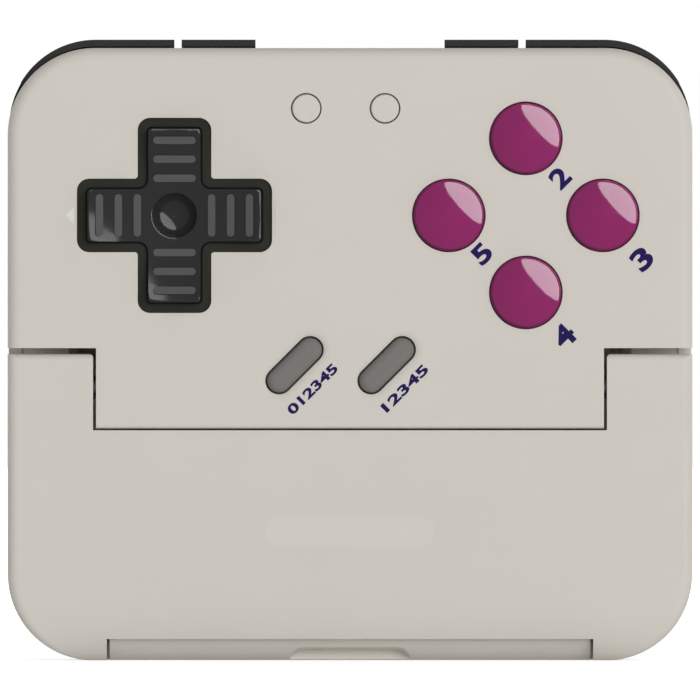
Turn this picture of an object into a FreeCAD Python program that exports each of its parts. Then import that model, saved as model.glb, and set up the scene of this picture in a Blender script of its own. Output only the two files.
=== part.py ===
import FreeCAD, Part
import math
import os

# A folding game controller that holds a phone between its head and its rear clamp.
# X runs to the right, Y to the back and Z up, in millimetres.
# Depths are measured back from the head's front face. The finished pieces are then
# moved so that the origin lies at the middle of the base.

V = FreeCAD.Vector
BACKWARD = V(0, 1, 0)
RIGHTWARD = V(1, 0, 0)

# Tolerances for picking edges
SAME_PLACE = 1e-4
NEARBY = 1e-3
NO_LENGTH = 1e-6

# Outline seen from the front
BODY_WIDTH = 80.0
HEAD_TOP = 71.56
CLAMP_TOP = 71.67
CORNER_RADIUS = 10.16

# Casing thicknesses and edges
WALL = 1.8
REAR_WALL = 1.6
HEAD_DEPTH = 12.0
HEAD_SPLIT = 6.2
CLAMP_DEPTH = 8.0
CLAMP_SPLIT = 4.1
FRONT_EDGE = 1.4
REAR_EDGE = 1.0
CLAMP_EDGE = 1.8
JAW_SEAM_INSET = 1.5
JAW_SEAM_WIDTH = 0.25
JAW_SEAM_DEPTH = 0.4

# Rubber pads
PAD_THICKNESS = 0.5
PAD_GAP = 0.3
PAD_SIDE_MARGIN = 7.0
PAD_CORNER = 4.0
PAD_MARGIN = 3.5
REST_PAD_THICKNESS = 0.6
REST_PAD_TALL = 7.0
REST_PAD_SIDE_MARGIN = 9.5

# Hinge between the head and the lower cover
MID_AXIS_DEPTH = 4.4
MID_AXIS_HEIGHT = 32.0
TONGUE_RADIUS = 4.9
TONGUE_EDGE = 0.45
EAR_WIDTH = 9.985
EAR_RADIUS = 3.8
EAR_EDGE = 0.8
EAR_CORNER = 0.45
HINGE_END_GAP = 0.35
HINGE_ROUND_GAP = 0.3
EAR_GAP = 0.7
SEAM_GAP = 0.2

# Well in the tongue for the pill keys
WELL_HALF_WIDTH = 18.0
WELL_DROP = 2.6
WELL_BACK = 7.8

# Lower cover
COVER_DEPTH = 11.5
TOE_DEPTH = 5.5
TOE_HEIGHT = 8.4
TOE_EDGE = 1.2
LIP_HEIGHT = 2.5
BASE_TRIM = 0.05
COVER_SLOPE_TALL = 8.0
COVER_CAVITY_FRONT = 1.8
PANEL_THICKNESS = 1.8
PANEL_CLEARANCE = 0.1
PANEL_MARGIN = 3.6
PANEL_LEDGE = 1.4
PANEL_CORNER = 2.5

# Hinge between the lower cover and the rear clamp
BOTTOM_AXIS_DEPTH = 8.0
BARREL_RADIUS = 6.5
KNUCKLE_WIDTH = 11.57
BARREL_END_GAP = 0.33
NOTCH_FRONT_HALF_WIDTH = 8.0
NOTCH_FRONT_TALL = 2.0
NOTCH_BACK_HALF_WIDTH = 7.3
NOTCH_BACK_TALL = 1.17
NOTCH_BACK = 6.8
NOTCH_CORNER = 2.1
HEEL_HEIGHT = 15.0

# Hinge pins and springs
PIN_RADIUS = 1.25
PIN_CLEARANCE = 0.05
PIN_IN_TONGUE = 7.8
PIN_IN_BARREL = 6.5
PIN_IN_COVER = 6.0
SPRING_POCKET_RADIUS = 3.1
SPRING_POCKET_DEPTH = 5.0
SPRING_RADIUS = 2.3
SPRING_WIRE_RADIUS = 0.25
SPRING_PITCH = 0.95
SPRING_HALF_TURNS = 9

# D-pad
DPAD_INSET = 19.5
CONTROLS_RISE = 15.5
DISH_RADIUS = 12.0
DISH_DEPTH = 0.45
SURROUND_LENGTH = 22.8
SURROUND_ARM = 8.6
SURROUND_CONVEX = 1.45
SURROUND_CONCAVE = 0.35
SURROUND_FRONT = 0.45
FLANGE_THICKNESS = 0.8
FLANGE_MARGIN = 0.9
DPAD_LENGTH = 20.3
DPAD_ARM = 6.1
DPAD_CONVEX = 0.4
DPAD_CONCAVE = 1.2
DPAD_GAP = 0.22
DPAD_RISE = 1.6
DPAD_HOLLOW = 1.85
DPAD_FLANGE = 0.7
DPAD_FLANGE_DROP = 1.1
DPAD_FLANGE_MARGIN = 0.9
DPAD_EDGE = 0.35
DIMPLE_RADIUS = 2.535
DIMPLE_DEPTH = 1.6
DIMPLE_LIP = 0.3
BAR_LENGTH = 4.97
BAR_WIDTH = 0.87
BAR_PROUD = 0.12
BAR_SUNK = 0.33
BAR_PLACES = (4.34, 6.56, 8.76)
PIVOT_RADIUS = 1.7
PIVOT_NOSE = 1.0
PIVOT_POCKET_RADIUS = 2.7
PIVOT_POCKET_DEPTH = 1.3
PIVOT_GAP = 0.15

# Round face buttons
FACE_INSET = 19.46
FACE_OFFSET = 9.0
FACE_HOLE_RADIUS = 4.315
FACE_GAP = 0.165
DOME_RADIUS = 3.9
DOME_HEIGHT = 1.2
CAP_RISE = 0.6
CAP_SHELF = 0.2
CAP_EDGE = 0.1
FACE_FLANGE_MARGIN = 0.45
FACE_TRAVEL = 1.2
FACE_SPARE_TRAVEL = 0.3
FACE_STEM_RADIUS = 2.5

# Pill keys
PILL_PLACES = (-6.48, 4.28)
PILL_ABOVE_AXIS = 2.5
PILL_LENGTH = 8.33
PILL_WIDTH = 3.2
PILL_ANGLE = 45.0
PILL_GAP = 0.21
PILL_RISE = 0.5
PILL_EDGE = 0.9
PILL_HALO = 0.9
PILL_HALO_DEPTH = 0.25
PILL_TRAVEL = 0.8

# Small round function keys
FUNCTION_PLACES = (-5.11, 4.09)
FUNCTION_BELOW_TOP = 7.06
FUNCTION_HOLE_RADIUS = 1.8
FUNCTION_GAP = 0.15
FUNCTION_RISE = 0.15
FUNCTION_STEM_RADIUS = 0.9
SWITCH_WIDTH = 4.2
SWITCH_LENGTH = 3.2
SWITCH_BODY = 1.2
SWITCH_PLUNGER_RADIUS = 0.8
SWITCH_PLUNGER = 0.35

# Shared by all keys of the head
KEY_FLANGE_GAP = 0.2
KEY_FLANGE = 0.6
KEY_FLANGE_MARGIN = 0.8
KEY_EDGE = 0.25

# Boards, membranes and battery
BOARD_FRONT = 5.6
BOARD_THICKNESS = 1.2
BOARD_MARGIN = 0.5
BOARD_SIDE_MARGIN = 7.8
BOARD_TAB_HALF_WIDTH = 14.0
MEMBRANE_THICKNESS = 0.5
DPAD_MEMBRANE_RADIUS = 11.5
DPAD_DOME_OFFSET = 7.6
DPAD_DOME_RADIUS = 2.5
FACE_MEMBRANE_RADIUS = 13.0
FACE_DOME_RADIUS = 3.2
PILL_DOME_RADIUS = 1.6
POST_RADIUS = 1.5
POST_INSET = 10.0
POST_FOOT_MARGIN = 4.1
POST_TOP_MARGIN = 4.56
CHIPS = ((-9.0, -2.0, 7.0, 7.0, 0.9), (6.0, 1.0, 9.0, 12.0, 1.6), (18.0, -6.0, 5.0, 3.2, 0.8))

# Battery in the clamp
BATTERY_WIDTH = 50.0
BATTERY_TOP_MARGIN = 6.5
BATTERY_THICKNESS = 3.8
BATTERY_FOOT = 20.0
BATTERY_CORNER = 1.9

# Charging socket in the head's right side wall
PORT_BELOW_CONTROLS = 1.0
PORT_WIDTH = 8.94
PORT_THICKNESS = 3.2
PORT_LENGTH = 7.3
PORT_WALL = 0.3
PORT_CONTACT_WIDTH = 5.96
PORT_RECESS = 0.6
PORT_GAP = 0.2

# Screws and their bosses
SCREW_RADIUS = 0.95
SCREW_HEAD_RADIUS = 1.75
SCREW_HEAD = 1.1
SCREW_SUNK = 0.3
SCREW_HEAD_GAP = 0.15
SCREW_DRIVE = 0.6
SCREW_DRIVE_WIDTH = 0.5
SCREW_DRIVE_LENGTH = 2.275
BOSS_RADIUS = 2.6
HEAD_BOSS_INSET = 4.8
HEAD_BOSS_FOOT_MARGIN = 5.0
HEAD_BOSS_TOP_MARGIN = 6.36
CLAMP_BOSS_INSET = 5.5
CLAMP_BOSS_LOW = 19.0
CLAMP_BOSS_TOP_MARGIN = 5.5
PANEL_SCREW_INSET = 6.0
BARREL_SCREW_X = 18.0
BARREL_SCREW_DEPTH = 5.0

# Plaque on the lower cover
PLAQUE_WIDTH = 19.9
PLAQUE_TALL = 3.6
PLAQUE_HEIGHT = 15.08
PLAQUE_THICKNESS = 0.8
PLAQUE_SUNK = 0.05

# Shoulder keys on the rear clamp
SHOULDER_RISE = 1.0
SHOULDER_TALL = 12.17
SHOULDER_GAP = 0.3
SHOULDER_TRAVEL = 0.9
SHOULDER_STOP_GAP = 0.2
SHOULDER_BULGE = 2.1
SHOULDER_WALL = 1.4
SHOULDER_EDGE = 1.3
OVERHANG_GAP = 0.2
OVERHANG_FRONT_MARGIN = 1.3
OVERHANG_DROP = 4.07
JAW_STEP = 0.25
INNER_KEY = (11.1, 19.75)
KEY_TO_KEY = 0.88
SHOULDER_BOARD_THICKNESS = 1.0
SHOULDER_BOARD_MARGIN = 1.9
SHOULDER_DOME_RADIUS = 2.0
SHOULDER_DOME_RISE = 5.8
SHOULDER_STEM_HALF_WIDTH = 1.2
HOOK_HALF_WIDTH = 2.5
HOOK_THICKNESS = 1.2
HOOK_DROP = 1.4
HOOK_GAP = 0.15

# Worked out from the sizes above
HALF_WIDTH = BODY_WIDTH / 2
TONGUE_BOTTOM = MID_AXIS_HEIGHT - TONGUE_RADIUS
COVER_TOP = TONGUE_BOTTOM - SEAM_GAP
COVER_SHOULDER_HEIGHT = MID_AXIS_HEIGHT - COVER_SLOPE_TALL
EAR_TOP = MID_AXIS_HEIGHT + EAR_RADIUS
HEAD_FOOT = EAR_TOP + EAR_GAP
EAR_INNER = HALF_WIDTH - EAR_WIDTH
TONGUE_HALF_WIDTH = EAR_INNER - HINGE_END_GAP
KNUCKLE_INNER = HALF_WIDTH - KNUCKLE_WIDTH
BARREL_HALF_LENGTH = KNUCKLE_INNER - BARREL_END_GAP
WELL_FLOOR = MID_AXIS_HEIGHT - WELL_DROP
PAD_HALF_WIDTH = HALF_WIDTH - PAD_SIDE_MARGIN
CONTROLS_HEIGHT = HEAD_FOOT + CONTROLS_RISE
DPAD_X = DPAD_INSET - HALF_WIDTH
FACE_X = HALF_WIDTH - FACE_INSET
PILL_HEIGHT = MID_AXIS_HEIGHT + PILL_ABOVE_AXIS
FUNCTION_HEIGHT = HEAD_TOP - FUNCTION_BELOW_TOP
PORT_HEIGHT = CONTROLS_HEIGHT - PORT_BELOW_CONTROLS
BOARD_HALF_WIDTH = HALF_WIDTH - BOARD_SIDE_MARGIN
PANEL_SCREW_X = HALF_WIDTH - PANEL_SCREW_INSET
CLAMP_FRONT = HEAD_DEPTH + 2 * PAD_THICKNESS + PAD_GAP
CLAMP_JOIN = CLAMP_FRONT + CLAMP_SPLIT
CLAMP_BACK = CLAMP_FRONT + CLAMP_DEPTH
BOARD_BACK = BOARD_FRONT + BOARD_THICKNESS
MEMBRANE_FRONT = BOARD_FRONT - MEMBRANE_THICKNESS
FACE_STEM_BACK = MEMBRANE_FRONT - FACE_TRAVEL - FACE_SPARE_TRAVEL
PILL_STEM_BACK = MEMBRANE_FRONT - PILL_TRAVEL
SURROUND_BACK = WALL + FLANGE_THICKNESS
DPAD_FLANGE_FRONT = SURROUND_BACK + DPAD_FLANGE_DROP
DPAD_BACK = DPAD_FLANGE_FRONT + DPAD_FLANGE
DPAD_MIDDLE = DPAD_HOLLOW - DPAD_RISE
KEY_FLANGE_FRONT = WALL + KEY_FLANGE_GAP
KEY_FLANGE_BACK = KEY_FLANGE_FRONT + KEY_FLANGE
SHOULDER_FRONT = CLAMP_JOIN + SHOULDER_TRAVEL + SHOULDER_STOP_GAP
SHOULDER_BACK = CLAMP_BACK + SHOULDER_BULGE
SHOULDER_BOARD_BACK = CLAMP_FRONT + REAR_WALL + SHOULDER_BOARD_THICKNESS
SHOULDER_FOOT = CLAMP_TOP + SHOULDER_RISE - SHOULDER_TALL
SHOULDER_DOME_HEIGHT = SHOULDER_FOOT + SHOULDER_DOME_RISE
OUTER_KEY_START = INNER_KEY[1] + KEY_TO_KEY
KEY_BAY_HALF_WIDTH = INNER_KEY[0] - SHOULDER_GAP
KEY_BAY_FOOT = SHOULDER_FOOT - SHOULDER_GAP
FRONT_MOST = -(CAP_RISE + DOME_HEIGHT)
MIDDLE_DEPTH = (FRONT_MOST + SHOULDER_BACK) / 2


def block(low, high):
    """A box from its low corner to its high corner."""
    return Part.makeBox(high[0] - low[0], high[1] - low[1], high[2] - low[2], V(*low))


def rod_back(x, z, radius, front, back):
    """A round rod that runs from front to back."""
    return Part.makeCylinder(radius, back - front, V(x, front, z), BACKWARD)


def rod_across(left, right, depth, height, radius):
    """A round rod that runs from left to right."""
    return Part.makeCylinder(radius, right - left, V(left, depth, height), RIGHTWARD)


def both_sides(shape):
    """A shape and its mirror image on the other side of the middle."""
    return [shape, shape.mirror(V(0, 0, 0), RIGHTWARD)]


def joined(shapes):
    """Touching shapes as one solid."""
    whole = shapes[0].fuse(shapes[1:]).removeSplitter()
    return whole.Solids[0] if len(whole.Solids) == 1 else whole


def outline(corners, depth):
    """A closed front outline at one depth, from corners (x, z, radius)."""
    count = len(corners)
    ends = []
    for index, (x, z, radius) in enumerate(corners):
        before = corners[index - 1]
        after = corners[(index + 1) % count]
        point = V(x, depth, z)
        to_before = (V(before[0], depth, before[1]) - point).normalize()
        to_after = (V(after[0], depth, after[1]) - point).normalize()
        if radius == 0:
            ends.append((point, point, None))
            continue
        half_turn = to_before.getAngle(to_after) / 2
        run = radius / math.tan(half_turn)
        inward = (to_before + to_after).normalize()
        middle = point + inward * (radius / math.sin(half_turn) - radius)
        ends.append((point + to_before * run, point + to_after * run, middle))
    edges = []
    for index, (start, end, middle) in enumerate(ends):
        if middle:
            edges.append(Part.Arc(start, middle, end).toShape())
        following = ends[(index + 1) % count][0]
        if (following - end).Length > NO_LENGTH:
            edges.append(Part.makeLine(end, following))
    return Part.Wire(edges)


def slab(corners, front, back):
    """A plate with a front outline, from one depth to another."""
    return Part.Face(outline(corners, front)).extrude(V(0, back - front, 0))


def across(edges, left, right):
    """A side profile, drawn at x = 0, made solid from left to right."""
    face = Part.Face(Part.Wire(Part.__sortEdges__(edges)))
    face.translate(V(left, 0, 0))
    return face.extrude(V(right - left, 0, 0))


def line(start, end):
    """A straight edge of a side profile, from (depth, height) to (depth, height)."""
    return Part.makeLine(V(0, *start), V(0, *end))


def arc(start, middle, end):
    """A round edge of a side profile through three places (depth, height)."""
    return Part.Arc(V(0, *start), V(0, *middle), V(0, *end)).toShape()


def rectangle(left, right, low, high, radius):
    """Corners of a rounded rectangle."""
    return [(left, low, radius), (left, high, radius), (right, high, radius), (right, low, radius)]


def capsule(x, z, length, width, angle):
    """Corners of a capsule turned by an angle, in degrees, from level."""
    turn = math.radians(angle)
    corners = []
    for along, side in ((-1, -1), (-1, 1), (1, 1), (1, -1)):
        run = along * length / 2
        rise = side * width / 2
        place_x = x + run * math.cos(turn) - rise * math.sin(turn)
        place_z = z + run * math.sin(turn) + rise * math.cos(turn)
        corners.append((place_x, place_z, width / 2))
    return corners


def cross(x, z, length, arm, convex, concave):
    """Corners of a plus shape."""
    far = length / 2
    near = arm / 2
    quarter = [(near, near, concave), (near, far, convex), (-near, far, convex)]
    corners = []
    for step in range(4):
        turn = step * math.pi / 2
        for across_x, up_z, radius in quarter:
            place_x = x + across_x * math.cos(turn) - up_z * math.sin(turn)
            place_z = z + across_x * math.sin(turn) + up_z * math.cos(turn)
            corners.append((place_x, place_z, radius))
    return corners


def anywhere(x, z):
    """A test that every place passes."""
    return True


def edges_at_depth(shape, depth, chosen=anywhere):
    """Edges that lie flat at one depth and whose middles pass a test on (x, z)."""
    found = []
    for edge in shape.Edges:
        bounds = edge.BoundBox
        if abs(bounds.YMin - depth) > SAME_PLACE or abs(bounds.YMax - depth) > SAME_PLACE:
            continue
        middle = edge.valueAt((edge.FirstParameter + edge.LastParameter) / 2)
        if chosen(middle.x, middle.z):
            found.append(edge)
    return found


def dome(x, z, radius, height, base):
    """A round cap that swells forward from its base."""
    ball_radius = (radius ** 2 + height ** 2) / (2 * height)
    ball = Part.makeSphere(ball_radius, V(x, base - height + ball_radius, z))
    return ball.common(rod_back(x, z, radius, base - height - WALL, base))


def hollow_ball(x, z, radius, depth, face):
    """A ball that cuts a round hollow of a given depth into a face."""
    ball_radius = (radius ** 2 + depth ** 2) / (2 * depth)
    return Part.makeSphere(ball_radius, V(x, face + depth - ball_radius, z))


def screw(x, z, rear, tip):
    """A small screw driven forward from the back, with a cross in its head."""
    head = rod_back(x, z, SCREW_HEAD_RADIUS, rear - SCREW_HEAD, rear)
    shank = rod_back(x, z, SCREW_RADIUS, tip, rear - SCREW_HEAD)
    whole = joined([head, shank])
    reach = SCREW_DRIVE_LENGTH / 2
    half = SCREW_DRIVE_WIDTH / 2
    level = block((x - reach, rear - SCREW_DRIVE, z - half), (x + reach, rear, z + half))
    upright = block((x - half, rear - SCREW_DRIVE, z - reach), (x + half, rear, z + reach))
    return whole.cut([level, upright])


def screw_hole(x, z, rear, face, tip):
    """Room for a screw's head up to the rear face, and its threaded hole."""
    head_room = rod_back(x, z, SCREW_HEAD_RADIUS + SCREW_HEAD_GAP, rear - SCREW_HEAD, face)
    return joined([head_room, rod_back(x, z, SCREW_RADIUS, tip, rear - SCREW_HEAD)])


def coil(start_x, depth, height):
    """A torsion spring's coil round a hinge axis, made of tilted half turns."""
    half_turns = []
    for step in range(SPRING_HALF_TURNS):
        side = 1 if step % 2 == 0 else -1
        start = V(start_x + step * SPRING_PITCH / 2, depth, height + side * SPRING_RADIUS)
        end = V(start.x + SPRING_PITCH / 2, depth, height - side * SPRING_RADIUS)
        face = Part.Face(Part.Wire(Part.makeCircle(SPRING_WIRE_RADIUS, start, BACKWARD)))
        turn_axis = (end - start).cross(V(0, side, 0))
        half_turns.append(face.revolve((start + end) / 2, turn_axis, 180))
    return joined(half_turns)


# Head

def head_corners(inset):
    """The head's outline above the ears, drawn in by an inset."""
    left = -HALF_WIDTH + inset
    radius = CORNER_RADIUS - inset
    low = HEAD_FOOT + inset
    high = HEAD_TOP - inset
    return [(left, low, 0), (left, high, radius), (-left, high, radius), (-left, low, 0)]


def head_boss_places():
    """Where the head's screws go."""
    x = HALF_WIDTH - HEAD_BOSS_INSET
    heights = (HEAD_FOOT + HEAD_BOSS_FOOT_MARGIN, HEAD_TOP - HEAD_BOSS_TOP_MARGIN)
    return [(side * x, z) for side in (-1, 1) for z in heights]


def post_places():
    """Where the posts stand that the main board rests on."""
    x = HALF_WIDTH - POST_INSET
    heights = (HEAD_FOOT + POST_FOOT_MARGIN, HEAD_TOP - POST_TOP_MARGIN)
    return [(side * x, z) for side in (-1, 1) for z in heights] + [(0, CONTROLS_HEIGHT)]


def is_head_rim(x, z):
    """True for the head's side and top edges, not its foot."""
    beside = abs(x) > HALF_WIDTH - CORNER_RADIUS / 2 and z > HEAD_FOOT + NEARBY
    return beside or z > HEAD_TOP - NEARBY


def face_places():
    """Centres of the four round buttons, by name."""
    return {
        "top": (FACE_X, CONTROLS_HEIGHT + FACE_OFFSET),
        "right": (FACE_X + FACE_OFFSET, CONTROLS_HEIGHT),
        "bottom": (FACE_X, CONTROLS_HEIGHT - FACE_OFFSET),
        "left": (FACE_X - FACE_OFFSET, CONTROLS_HEIGHT),
    }


def tongue():
    """The head's hinge tongue: flat in front, round behind."""
    back = MID_AXIS_DEPTH + TONGUE_RADIUS
    slant = TONGUE_RADIUS * math.sin(math.pi / 4)
    corner = TONGUE_EDGE * (1 - math.sin(math.pi / 4))
    edges = [
        line((0, TONGUE_BOTTOM + TONGUE_EDGE), (0, HEAD_FOOT)),
        line((0, HEAD_FOOT), (back, HEAD_FOOT)),
        line((back, HEAD_FOOT), (back, MID_AXIS_HEIGHT)),
        arc((back, MID_AXIS_HEIGHT), (MID_AXIS_DEPTH + slant, MID_AXIS_HEIGHT - slant),
            (MID_AXIS_DEPTH, TONGUE_BOTTOM)),
        line((MID_AXIS_DEPTH, TONGUE_BOTTOM), (TONGUE_EDGE, TONGUE_BOTTOM)),
        arc((TONGUE_EDGE, TONGUE_BOTTOM), (corner, TONGUE_BOTTOM + corner),
            (0, TONGUE_BOTTOM + TONGUE_EDGE)),
    ]
    return across(edges, -TONGUE_HALF_WIDTH, TONGUE_HALF_WIDTH)


def tongue_bores():
    """Running bores for the middle hinge's pins, and pockets for its springs."""
    cuts = []
    bore_end = TONGUE_HALF_WIDTH - PIN_IN_TONGUE
    pocket_end = TONGUE_HALF_WIDTH - SPRING_POCKET_DEPTH
    bore = rod_across(bore_end, TONGUE_HALF_WIDTH, MID_AXIS_DEPTH, MID_AXIS_HEIGHT,
                      PIN_RADIUS + PIN_CLEARANCE)
    pocket = rod_across(pocket_end, TONGUE_HALF_WIDTH, MID_AXIS_DEPTH, MID_AXIS_HEIGHT,
                        SPRING_POCKET_RADIUS)
    cuts += both_sides(bore)
    cuts += both_sides(pocket)
    return cuts


def well():
    """The room in the tongue for the pill keys, open to the head above."""
    return block((-WELL_HALF_WIDTH, WALL, WELL_FLOOR),
                 (WELL_HALF_WIDTH, WELL_BACK, HEAD_FOOT + WALL + BOARD_MARGIN))


def head_front_shell():
    """The front casing with its tongue, dish, holes, bosses and posts."""
    shell = joined([slab(head_corners(0), 0, HEAD_SPLIT), tongue()])
    shell = shell.makeFillet(FRONT_EDGE, edges_at_depth(shell, 0, is_head_rim))
    cuts = [slab(head_corners(WALL), WALL, HEAD_SPLIT), well()]
    cuts += tongue_bores()
    shell = shell.cut(cuts)
    additions = [rod_back(x, z, BOSS_RADIUS, WALL, HEAD_SPLIT) for x, z in head_boss_places()]
    additions += [rod_back(x, z, POST_RADIUS, WALL, BOARD_FRONT) for x, z in post_places()]
    inside = slab(head_corners(WALL / 2), 0, HEAD_SPLIT)
    shell = joined([shell] + [piece.common(inside) for piece in additions])
    return shell.cut(head_openings())


def head_openings():
    """Every hole and hollow in the head's front face."""
    cuts = [hollow_ball(DPAD_X, CONTROLS_HEIGHT, DISH_RADIUS, DISH_DEPTH, 0)]
    cuts.append(slab(cross(DPAD_X, CONTROLS_HEIGHT, SURROUND_LENGTH, SURROUND_ARM,
                           SURROUND_CONVEX, SURROUND_CONCAVE), -WALL, WALL))
    for x, z in face_places().values():
        cuts.append(rod_back(x, z, FACE_HOLE_RADIUS, -WALL, WALL))
    for x in PILL_PLACES:
        cuts.append(slab(capsule(x, PILL_HEIGHT, PILL_LENGTH, PILL_WIDTH, PILL_ANGLE), -WALL, WALL))
        cuts.append(pill_halo(x))
    for x in FUNCTION_PLACES:
        cuts.append(rod_back(x, FUNCTION_HEIGHT, FUNCTION_HOLE_RADIUS, -WALL, WALL))
    for x, z in head_boss_places():
        cuts.append(rod_back(x, z, SCREW_RADIUS, WALL, HEAD_SPLIT))
    return cuts


def pill_halo(x):
    """The hollow round a pill key's hole, whose sides roll off from the casing's face."""
    near = PILL_WIDTH / 2
    far = near + PILL_HALO
    roll = (PILL_HALO ** 2 + PILL_HALO_DEPTH ** 2) / (2 * PILL_HALO_DEPTH)
    half_turn = math.asin(PILL_HALO / roll) / 2
    middle = V(far - roll * math.sin(half_turn), roll * (1 - math.cos(half_turn)), 0)
    edges = [
        Part.makeLine(V(0, -WALL, 0), V(far, -WALL, 0)),
        Part.makeLine(V(far, -WALL, 0), V(far, 0, 0)),
        Part.Arc(V(far, 0, 0), middle, V(near, PILL_HALO_DEPTH, 0)).toShape(),
        Part.makeLine(V(near, PILL_HALO_DEPTH, 0), V(0, PILL_HALO_DEPTH, 0)),
        Part.makeLine(V(0, PILL_HALO_DEPTH, 0), V(0, -WALL, 0)),
    ]
    half = Part.Face(Part.Wire(edges))
    run = PILL_LENGTH - PILL_WIDTH
    low_end = half.revolve(V(0, 0, 0), BACKWARD, 180)
    high_end = half.revolve(V(0, 0, 0), BACKWARD, -180)
    high_end.translate(V(0, 0, run))
    hollow = joined([low_end, high_end] + both_sides(half.extrude(V(0, 0, run))))
    hollow.translate(V(0, 0, -run / 2))
    hollow.rotate(V(0, 0, 0), BACKWARD, 90 - PILL_ANGLE)
    hollow.translate(V(x, 0, PILL_HEIGHT))
    return hollow


def port_middle():
    """Depth of the charging socket's middle, behind the main board."""
    return BOARD_BACK + PORT_THICKNESS / 2


def port_capsule(grow, left, right):
    """A bar with the charging socket's rounded section, from left to right."""
    half_tall = PORT_THICKNESS / 2 + grow
    half_wide = PORT_WIDTH / 2 + grow
    flat = half_wide - half_tall
    middle = port_middle()
    edges = [
        line((middle - half_tall, PORT_HEIGHT - flat), (middle - half_tall, PORT_HEIGHT + flat)),
        arc((middle - half_tall, PORT_HEIGHT + flat), (middle, PORT_HEIGHT + half_wide),
            (middle + half_tall, PORT_HEIGHT + flat)),
        line((middle + half_tall, PORT_HEIGHT + flat), (middle + half_tall, PORT_HEIGHT - flat)),
        arc((middle + half_tall, PORT_HEIGHT - flat), (middle, PORT_HEIGHT - half_wide),
            (middle - half_tall, PORT_HEIGHT - flat)),
    ]
    return across(edges, left, right)


def head_rear_shell():
    """The rear casing of the head, with screw pillars and the socket's opening."""
    shell = slab(head_corners(0), HEAD_SPLIT, HEAD_DEPTH)
    shell = shell.makeFillet(REAR_EDGE, edges_at_depth(shell, HEAD_DEPTH))
    shell = shell.cut([slab(head_corners(WALL), HEAD_SPLIT, HEAD_DEPTH - REAR_WALL), well()])
    inside = slab(head_corners(WALL / 2), HEAD_SPLIT, HEAD_DEPTH - REAR_WALL / 2)
    pillars = [rod_back(x, z, BOSS_RADIUS, HEAD_SPLIT, HEAD_DEPTH).common(inside)
               for x, z in head_boss_places()]
    shell = joined([shell] + pillars)
    cuts = [screw_hole(x, z, HEAD_DEPTH - SCREW_SUNK, HEAD_DEPTH + REAR_WALL, HEAD_SPLIT)
            for x, z in head_boss_places()]
    cuts.append(port_capsule(PORT_GAP, HALF_WIDTH - WALL - PORT_LENGTH, HALF_WIDTH + WALL))
    return shell.cut(cuts)


def head_screws():
    """Four screws that hold the head's casings together."""
    return [screw(x, z, HEAD_DEPTH - SCREW_SUNK, WALL + PANEL_LEDGE) for x, z in head_boss_places()]


def head_pad():
    """The rubber pad behind the head, which the phone's screen leans on."""
    low = HEAD_FOOT + PAD_MARGIN
    high = HEAD_TOP - PAD_MARGIN
    pad = slab(rectangle(-PAD_HALF_WIDTH, PAD_HALF_WIDTH, low, high, PAD_CORNER),
               HEAD_DEPTH, HEAD_DEPTH + PAD_THICKNESS)
    room = SCREW_HEAD_RADIUS + SCREW_HEAD_GAP + PAD_GAP
    holes = [rod_back(x, z, room, HEAD_DEPTH, HEAD_DEPTH + PAD_THICKNESS)
             for x, z in head_boss_places()]
    return pad.cut(holes)


def dpad_surround():
    """The fixed black frame round the D-pad, held from behind by its flange."""
    face = slab(cross(DPAD_X, CONTROLS_HEIGHT, SURROUND_LENGTH, SURROUND_ARM,
                      SURROUND_CONVEX, SURROUND_CONCAVE), SURROUND_FRONT, WALL)
    grow = 2 * FLANGE_MARGIN
    flange = slab(cross(DPAD_X, CONTROLS_HEIGHT, SURROUND_LENGTH + grow, SURROUND_ARM + grow,
                        SURROUND_CONVEX, SURROUND_CONCAVE), WALL, SURROUND_BACK)
    room = 2 * DPAD_GAP
    hole = slab(cross(DPAD_X, CONTROLS_HEIGHT, DPAD_LENGTH + room, DPAD_ARM + room,
                      DPAD_CONVEX + DPAD_GAP, DPAD_CONCAVE - DPAD_GAP), 0, SURROUND_BACK)
    return joined([face, flange]).cut(hole)


def dpad_hollow(proud):
    """The ball that dishes the D-pad's face, or moved forward, its bars' faces."""
    return hollow_ball(DPAD_X, CONTROLS_HEIGHT, DPAD_LENGTH / 2, DPAD_HOLLOW, -DPAD_RISE - proud)


def grip_bars():
    """Twelve raised bars, three on each arm of the D-pad, that follow its dished face."""
    bars = []
    for step in range(4):
        turn = step * math.pi / 2
        for place in BAR_PLACES:
            x = DPAD_X + place * math.cos(turn)
            z = CONTROLS_HEIGHT + place * math.sin(turn)
            face = DPAD_MIDDLE - DPAD_HOLLOW * (2 * place / DPAD_LENGTH) ** 2
            bar = slab(capsule(x, z, BAR_LENGTH, BAR_WIDTH, 90 * (step + 1)),
                       -DPAD_RISE - BAR_PROUD, face + BAR_SUNK)
            bars.append(bar.cut(dpad_hollow(BAR_PROUD)))
    return bars


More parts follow.
